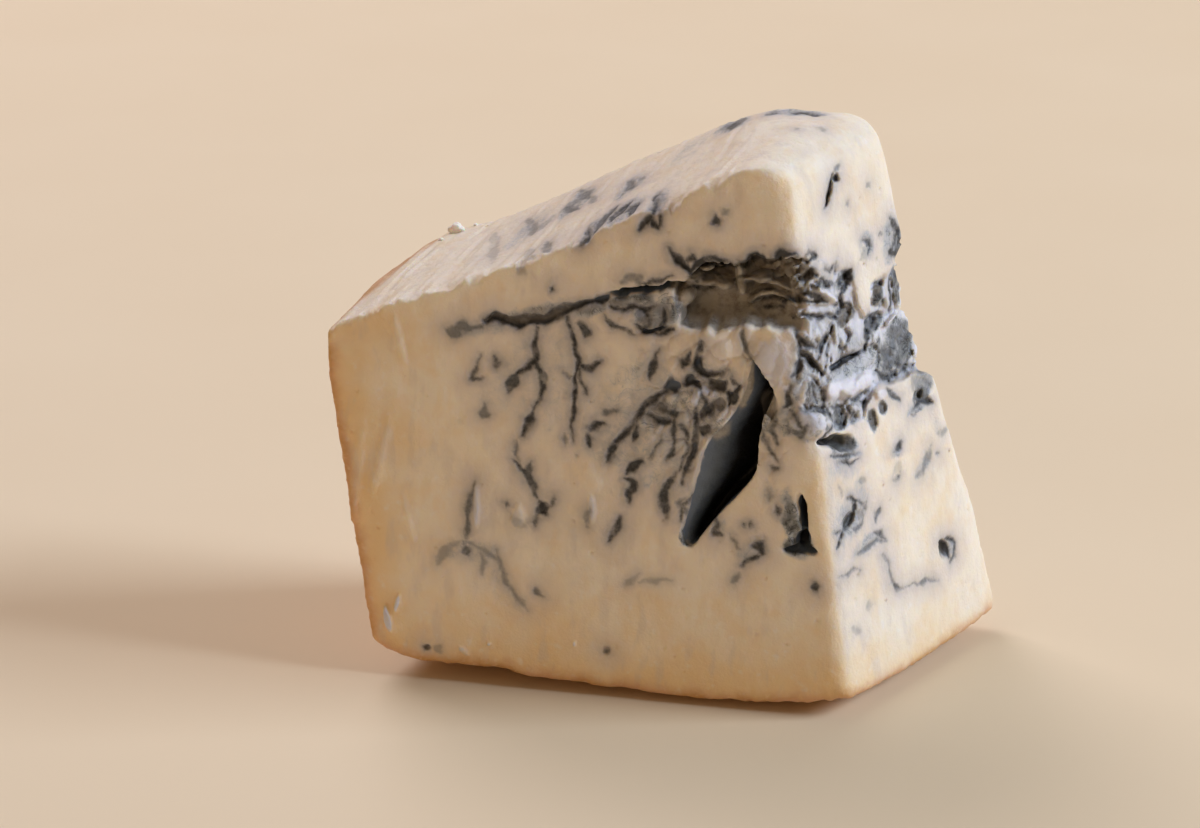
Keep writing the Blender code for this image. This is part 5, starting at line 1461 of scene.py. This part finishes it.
# Near-black for the hollows: painted shade deep in them and in the crack's grooves, over black mould.
SHADE_SIDE_SLATE, SHADE_AND_MOULD_BLACK = linear(112, 126, 146), linear(34, 35, 38)
CAVE_BLUE, CAVE_GREY = linear(150, 157, 166), linear(120, 122, 118)
PASTE_WARM, PASTE_GREY = linear(240, 214, 176), linear(212, 202, 198)
RIND_OCHRE, RIND_PINK = linear(204, 156, 104), linear(216, 170, 132)
RIND_PALE = linear(232, 204, 166)
FLOOR_DARK, FLOOR_LIGHT = linear(230, 211, 182), linear(234, 217, 190)
# The values of each point that the material reads.
POINT_VALUES = ("vein", "dark", "cavity_shade", "rind", "mould", "crease", "ripe", "shade", "brown",
                "raised", "torn")


def paste_colour(n, at, fine):
    """Cream paste, yellower where it is ripe, with fat, streaks and grey near the veins."""
    broad = n.noise(9.0, 3.0)
    ripeness = n.math("ADD", at["ripe"], n.math("MULTIPLY", n.math("SUBTRACT", broad, 0.5), 0.9))
    paste = n.mix(n.span(ripeness, 0.15, 0.95), CREAM, CREAM_YELLOW)
    paste = n.mix(n.span(fine, 0.58, 0.76, 0.0, 0.35), paste, FAT_WHITE)
    paste = n.mix(n.span(n.noise(4.5, 3.0), 0.50, 0.70, 0.0, 0.30), paste, PASTE_WARM)
    streak = n.noise(2.6, 3.0, (1.0, 1.0, 0.35), 0.55)
    paste = n.mix(n.span(streak, 0.52, 0.70, 0.0, 0.32), paste, PASTE_GREY)
    paste = n.mix(n.span(streak, 0.46, 0.30, 0.0, 0.30), paste, PASTE_WARM)
    near_vein = n.math("MULTIPLY", n.span(at["vein"], -4.0, -0.3, 0.0, 0.62),
                       n.span(at["dark"], 0.0, 0.7))
    paste = n.mix(near_vein, paste, PASTE_GREY)
    return n.mix(n.span(at["torn"], 0.0, 1.0, 0.0, 0.62), paste, CURD_BLUE)


def mould_spread(n, at, mottle):
    """How much mould lies on each place, in uneven patches and wisps, with painted shade added in the torn
    band's creases.
    """
    mould = at["mould"]
    spread = n.math("ADD", mould, n.math("MULTIPLY", mottle, n.span(mould, 0.0, 0.45)))
    # Creases of the torn band: partly mould, partly painted shade in the gaps between flakes.
    spread = n.math("ADD", spread, n.math("MULTIPLY", at["crease"], 0.42))
    net = n.math("MULTIPLY", n.wisps(2.3, 0.035), n.span(mould, 0.06, 0.4, 0.0, 0.22))
    spread = n.math("ADD", spread, net)
    return n.math("SUBTRACT", spread, n.math("MULTIPLY", n.math("MAXIMUM", at["raised"], 0.0), 0.35))


def mould_film(n, at, paste, spread, mottle):
    """Mould over the paste: pale film, then slate, then black, and bare curd on raised places."""
    film = n.mix(n.span(spread, 0.02, 0.42), paste, MOULD_PALE)
    film = n.mix(n.span(spread, 0.30, 0.70), film, MOULD_GREY)
    film = n.mix(n.span(spread, 0.62, 1.05), film, MOULD_DARK)
    blotch = n.math("MULTIPLY", n.math("MAXIMUM", n.math("ADD", mottle, 0.08), 0.0),
                    n.span(at["mould"], 0.2, 0.5, 0.0, 1.8))
    bare = n.math("SUBTRACT", at["raised"], blotch)
    # Bare curd: white away from the front, a bluer copy on the front, which lies in shade under a warm fill:
    # painted to stand in for cooler light.
    flake = n.mix(at["shade"], CURD_WHITE, SHADE_SIDE_CURD_BLUE)
    return n.mix(n.span(bare, 0.20, 0.60, 0.0, 0.80), film, flake)


def vein_colour(n, at, film, fine, centred):
    """Veins over the film: soft halo, then a dark core with a ragged edge that comes and goes."""
    dark = at["dark"]
    along = n.noise(3.2, 2.0)
    ragged = n.math("ADD", n.math("MULTIPLY", centred, 0.45),
                    n.math("MULTIPLY", n.math("SUBTRACT", along, 0.62), 0.9))
    edge = n.math("ADD", at["vein"], ragged)
    halo = n.math("MULTIPLY", dark, n.span(at["shade"], 0.0, 1.0, 0.55, 0.85))
    halo = n.math("MULTIPLY", n.span(edge, -1.5, 0.0), halo)
    film = n.mix(halo, film, HALO)
    core = n.mix(n.span(n.math("ADD", dark, n.math("MULTIPLY", centred, 0.6)), 0.35, 1.0),
                 MOULD_GREY, MOULD_DARK)
    stain = n.math("MULTIPLY", n.span(edge, -0.50, 0.18), n.span(dark, 0.0, 0.8, 0.22, 0.96))
    stain = n.math("MULTIPLY", stain, n.span(fine, 0.30, 0.52, 0.6, 1.0))
    return n.mix(stain, film, core), stain


def hollow_colour(n, at, film, stain, fine, mottle):
    """Hollows: brown in the crack, slate and black elsewhere; the brown and slate are partly mould and
    partly painted shade, and the black is painted shade that grows with depth.
    """
    brown, shade = at["brown"], at["shade"]
    deep = n.math("ADD", at["cavity_shade"], n.math("SUBTRACT", fine, 0.5))
    # Tan and brown in the crack and pockets: partly brownish curd, partly painted shade.
    tan = n.mix(n.span(n.noise(2.2, 4.0, rough=0.62), 0.42, 0.66), TAN_AND_SHADE, BROWN_AND_SHADE)
    bloom = n.math("ADD", at["mould"], n.math("MULTIPLY", mottle, 0.8))
    tan = n.mix(n.span(bloom, 0.35, 0.8), tan, CAVE_BLUE)
    # Painted shade: the hollow colours darken to black with depth.
    slate = n.mix(n.span(deep, 1.2, 4.4), SHADE_SIDE_SLATE, SHADE_AND_MOULD_BLACK)
    # On the front, which lies in shade under a warm fill, the hollows take the bluer slate, and neutral grey
    # elsewhere: lit and shaded copies of one colour, painted for the light.
    slate = n.mix(shade, n.mix(n.span(deep, 0.8, 3.0), CAVE_GREY, SHADE_AND_MOULD_BLACK), slate)
    cave = n.mix(n.span(brown, 0.1, 0.6), slate, tan)
    # Veins in the crack go black: partly mould, partly painted shade in its grooves.
    cave = n.mix(n.math("MULTIPLY", stain, brown), cave, SHADE_AND_MOULD_BLACK)
    return n.mix(n.span(deep, 0.55, 1.5), film, cave)


def rind_over(n, at, colour):
    """Ochre and pink rind over the rest, with a ragged edge."""
    uneven = n.math("MULTIPLY", n.math("SUBTRACT", n.noise(2.4, 4.0), 0.5), 0.5)
    rind_edge = n.math("ADD", at["rind"], uneven)
    crust = n.mix(n.span(n.noise(5.0, 4.0), 0.36, 0.62), RIND_OCHRE, RIND_PINK)
    crust = n.mix(n.span(n.noise(1.2, 4.0), 0.55, 0.75, 0.0, 0.7), crust, RIND_PALE)
    return n.mix(n.span(rind_edge, 0.26, 0.88), colour, crust)


def cheese_material():
    """Cream paste with blue-grey veins, brownish hollows darkened by painted shade and an ochre rind."""
    n = Nodes("blue_cheese")
    at = {name: n.attribute(name) for name in POINT_VALUES}
    fine = n.noise(1.6, 3.0)
    centred = n.math("SUBTRACT", n.noise(0.5, 4.0, rough=0.6), 0.5)
    patch = n.noise(2.2, 4.0, rough=0.55, warp=0.4)
    mottle = n.math("ADD", n.math("MULTIPLY", n.math("SUBTRACT", patch, 0.52), 1.3),
                    n.math("MULTIPLY", centred, 0.3))
    spread = mould_spread(n, at, mottle)
    film = mould_film(n, at, paste_colour(n, at, fine), spread, mottle)
    film, stain = vein_colour(n, at, film, fine, centred)
    inner = hollow_colour(n, at, film, stain, fine, mottle)
    # Brown over mould in the pockets: partly brownish curd, partly painted shade.
    browned = n.math("MULTIPLY", at["brown"], n.span(spread, 0.1, 0.5))
    browned_and_shaded = n.mix(n.span(browned, 0.2, 0.8, 0.0, 0.5), inner, BROWN_AND_SHADE)

    n.put(n.shader.inputs["Base Color"], rind_over(n, at, browned_and_shaded))
    rough = n.span(n.noise(1.0, 3.0), 0.3, 0.7, 0.40, 0.56)
    n.put(n.shader.inputs["Roughness"], rough)
    n.shader.inputs["Subsurface Weight"].default_value = 0.45
    n.shader.inputs["Subsurface Radius"].default_value = (1.0, 0.8, 0.32)
    n.shader.inputs["Subsurface Scale"].default_value = 0.0018
    n.shader.inputs["IOR"].default_value = 1.42
    grain = n.bump(n.noise(0.35, 3.0, rough=0.6), 0.10, 0.8)
    curd = n.bump(n.noise(1.3, 3.0), 0.22, 0.6, grain)
    n.put(n.shader.inputs["Normal"], curd)
    return n.material


def floor_material():
    """Pale matt surface with the faintest mottling."""
    n = Nodes("pale_floor")
    colour = n.mix(n.noise(60.0, 2.0), FLOOR_DARK, FLOOR_LIGHT)
    n.put(n.shader.inputs["Base Color"], colour)
    n.shader.inputs["Roughness"].default_value = 0.7
    return n.material


# ---------------------------------------------------------------- floor, light and camera

# In metres: where the floor begins in front, its half width, where it bends up, how high and how
# round, and in how many steps.
FLOOR_FRONT, FLOOR_HALF_WIDTH, FLOOR_BACK = 1.2, 3.0, 1.0
FLOOR_RISE, FLOOR_BEND, FLOOR_STEPS = 1.4, 0.5, 24

# Lights: name, direction from the wedge, distance, size, power and colour.
LIGHTS = (
    ("key", (0.82, 0.08, 0.50), 1.7, 0.70, 25.8, (0.76, 0.86, 1.0)),
    ("fill", (-0.35, -1.0, 0.22), 1.3, 0.9, 1.78, (1.0, 0.55, 0.20)),
    ("sky", (-0.55, 0.55, 0.80), 1.3, 0.8, 7.8, (1.0, 0.93, 0.99)),
)
LIGHT_AIM = (0.0, 0.0, 0.035)
WORLD_COLOUR, WORLD_STRENGTH = (1.0, 0.79, 0.55, 1.0), 0.188

# Camera: place in the wedge's own frame in mm, pitch down and turn in degrees, lens and sensor.
CAMERA_PLACE = np.array([45.0, -367.3, 183.8])
CAMERA_PITCH, CAMERA_TURN = 21.05, 12.242
CAMERA_LENS, CAMERA_SENSOR = 90.0, 36.0


def make_stage():
    """Pale floor that curves up behind."""
    profile = [(-FLOOR_FRONT, 0.0)]
    for step in range(FLOOR_STEPS + 1):
        angle = math.pi / 2 * step / FLOOR_STEPS
        profile.append((FLOOR_BACK + FLOOR_BEND * math.sin(angle),
                        FLOOR_BEND * (1.0 - math.cos(angle))))
    profile.append((FLOOR_BACK + FLOOR_BEND, FLOOR_RISE))
    points, faces = [], []
    for along, up in profile:
        points += [(-FLOOR_HALF_WIDTH, along, up), (FLOOR_HALF_WIDTH, along, up)]
    for row in range(len(profile) - 1):
        first = row * 2
        faces.append((first, first + 1, first + 3, first + 2))
    mesh = bpy.data.meshes.new("floor")
    mesh.from_pydata(points, [], faces)
    mesh.shade_smooth()
    floor = bpy.data.objects.new("floor", mesh)
    mesh.materials.append(floor_material())
    bpy.context.scene.collection.objects.link(floor)


def area_light(name, direction, distance, size, power, colour, aim):
    """Square soft light at a direction from the wedge, looking at it."""
    data = bpy.data.lights.new(name, "AREA")
    data.shape = "SQUARE"
    data.size = size
    data.energy = power
    data.color = colour
    light = bpy.data.objects.new(name, data)
    direction = Vector(direction).normalized()
    light.location = Vector(aim) + direction * distance
    light.rotation_euler = (-direction).to_track_quat("-Z", "Y").to_euler()
    bpy.context.scene.collection.objects.link(light)


def make_lights():
    """Soft key from the right and above, warm fill from the front and a dim warm world."""
    for light in LIGHTS:
        area_light(*light, LIGHT_AIM)
    world = bpy.data.worlds.new("world")
    world.use_nodes = True
    background = world.node_tree.nodes["Background"]
    background.inputs["Color"].default_value = WORLD_COLOUR
    background.inputs["Strength"].default_value = WORLD_STRENGTH
    bpy.context.scene.world = world
    view = bpy.context.scene.view_settings
    view.view_transform = "Standard"
    view.look = "None"


def make_camera():
    """Camera at the angle of the view."""
    data = bpy.data.cameras.new("camera")
    data.lens = CAMERA_LENS
    data.sensor_width = CAMERA_SENSOR
    camera = bpy.data.objects.new("camera", data)
    camera.location = (CAMERA_PLACE + ORIGIN) * MM
    camera.rotation_euler = (math.radians(90.0 - CAMERA_PITCH), 0.0, math.radians(CAMERA_TURN))
    bpy.context.scene.collection.objects.link(camera)
    bpy.context.scene.camera = camera


# ---------------------------------------------------------------- build

# Loose crumbs: X and Y, half sizes, seed. How far each is lifted, as a share of its half height.
CRUMB_LIFT = 0.4
CRUMBS = (((-62.0, 29.4), (1.30, 0.9, 0.90), 201), ((-63.6, 26.6), (0.40, 0.4, 0.30), 203),
          ((-59.4, 30.2), (0.34, 0.4, 0.25), 205))


def crumb_material():
    """Plain white curd."""
    n = Nodes("curd_crumb")
    n.put(n.shader.inputs["Base Color"], n.mix(n.noise(0.9, 3.0), FAT_WHITE, CREAM))
    n.shader.inputs["Roughness"].default_value = 0.5
    n.shader.inputs["Subsurface Weight"].default_value = 0.4
    n.shader.inputs["Subsurface Scale"].default_value = 0.001
    n.put(n.shader.inputs["Normal"], n.bump(n.noise(0.4, 3.0), 0.10))
    return n.material


def make_wedge():
    """The cheese as one mesh."""
    field, axes = make_field()
    points, faces = largest_piece(*surface_of(field, axes))
    points = np.clip(points, *inner_box())
    wedge = mesh_object("cheese", points, faces)
    thin_out(wedge, TRIANGLE_LIMIT, detail_share(points))
    store_values(wedge)
    wedge.data.materials.append(cheese_material())
    return wedge


def make_crumbs():
    """Loose white crumbs of curd by the back edge of the knife cut, as one mesh."""
    joined = bmesh.new()
    for place, size, seed in CRUMBS:
        ball = bmesh.ops.create_icosphere(joined, subdivisions=4, radius=1.0)["verts"]
        shape = np.array([vertex.co[:] for vertex in ball])
        swollen = 1.0 + 0.28 * noise(shape.T, 0.8, seed) + 0.12 * noise(shape.T, 0.3, seed + 1)
        middle = np.array([*place, top_height(*place) + CRUMB_LIFT * size[2]])
        shape = shape * swollen[:, None] * np.array(size) + middle
        for vertex, point in zip(ball, (shape + ORIGIN) * MM):
            vertex.co = point
    mesh = bpy.data.meshes.new("crumbs")
    joined.to_mesh(mesh)
    joined.free()
    mesh.shade_smooth()
    crumbs = bpy.data.objects.new("crumbs", mesh)
    bpy.context.scene.collection.objects.link(crumbs)
    mesh.materials.append(crumb_material())
    return crumbs


wedge = make_wedge()
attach(wedge, "root")
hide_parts("cheese_wedge")
crumbs = make_crumbs()
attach(crumbs, "root")
make_stage()
make_lights()
make_camera()
bpy.context.view_layer.update()
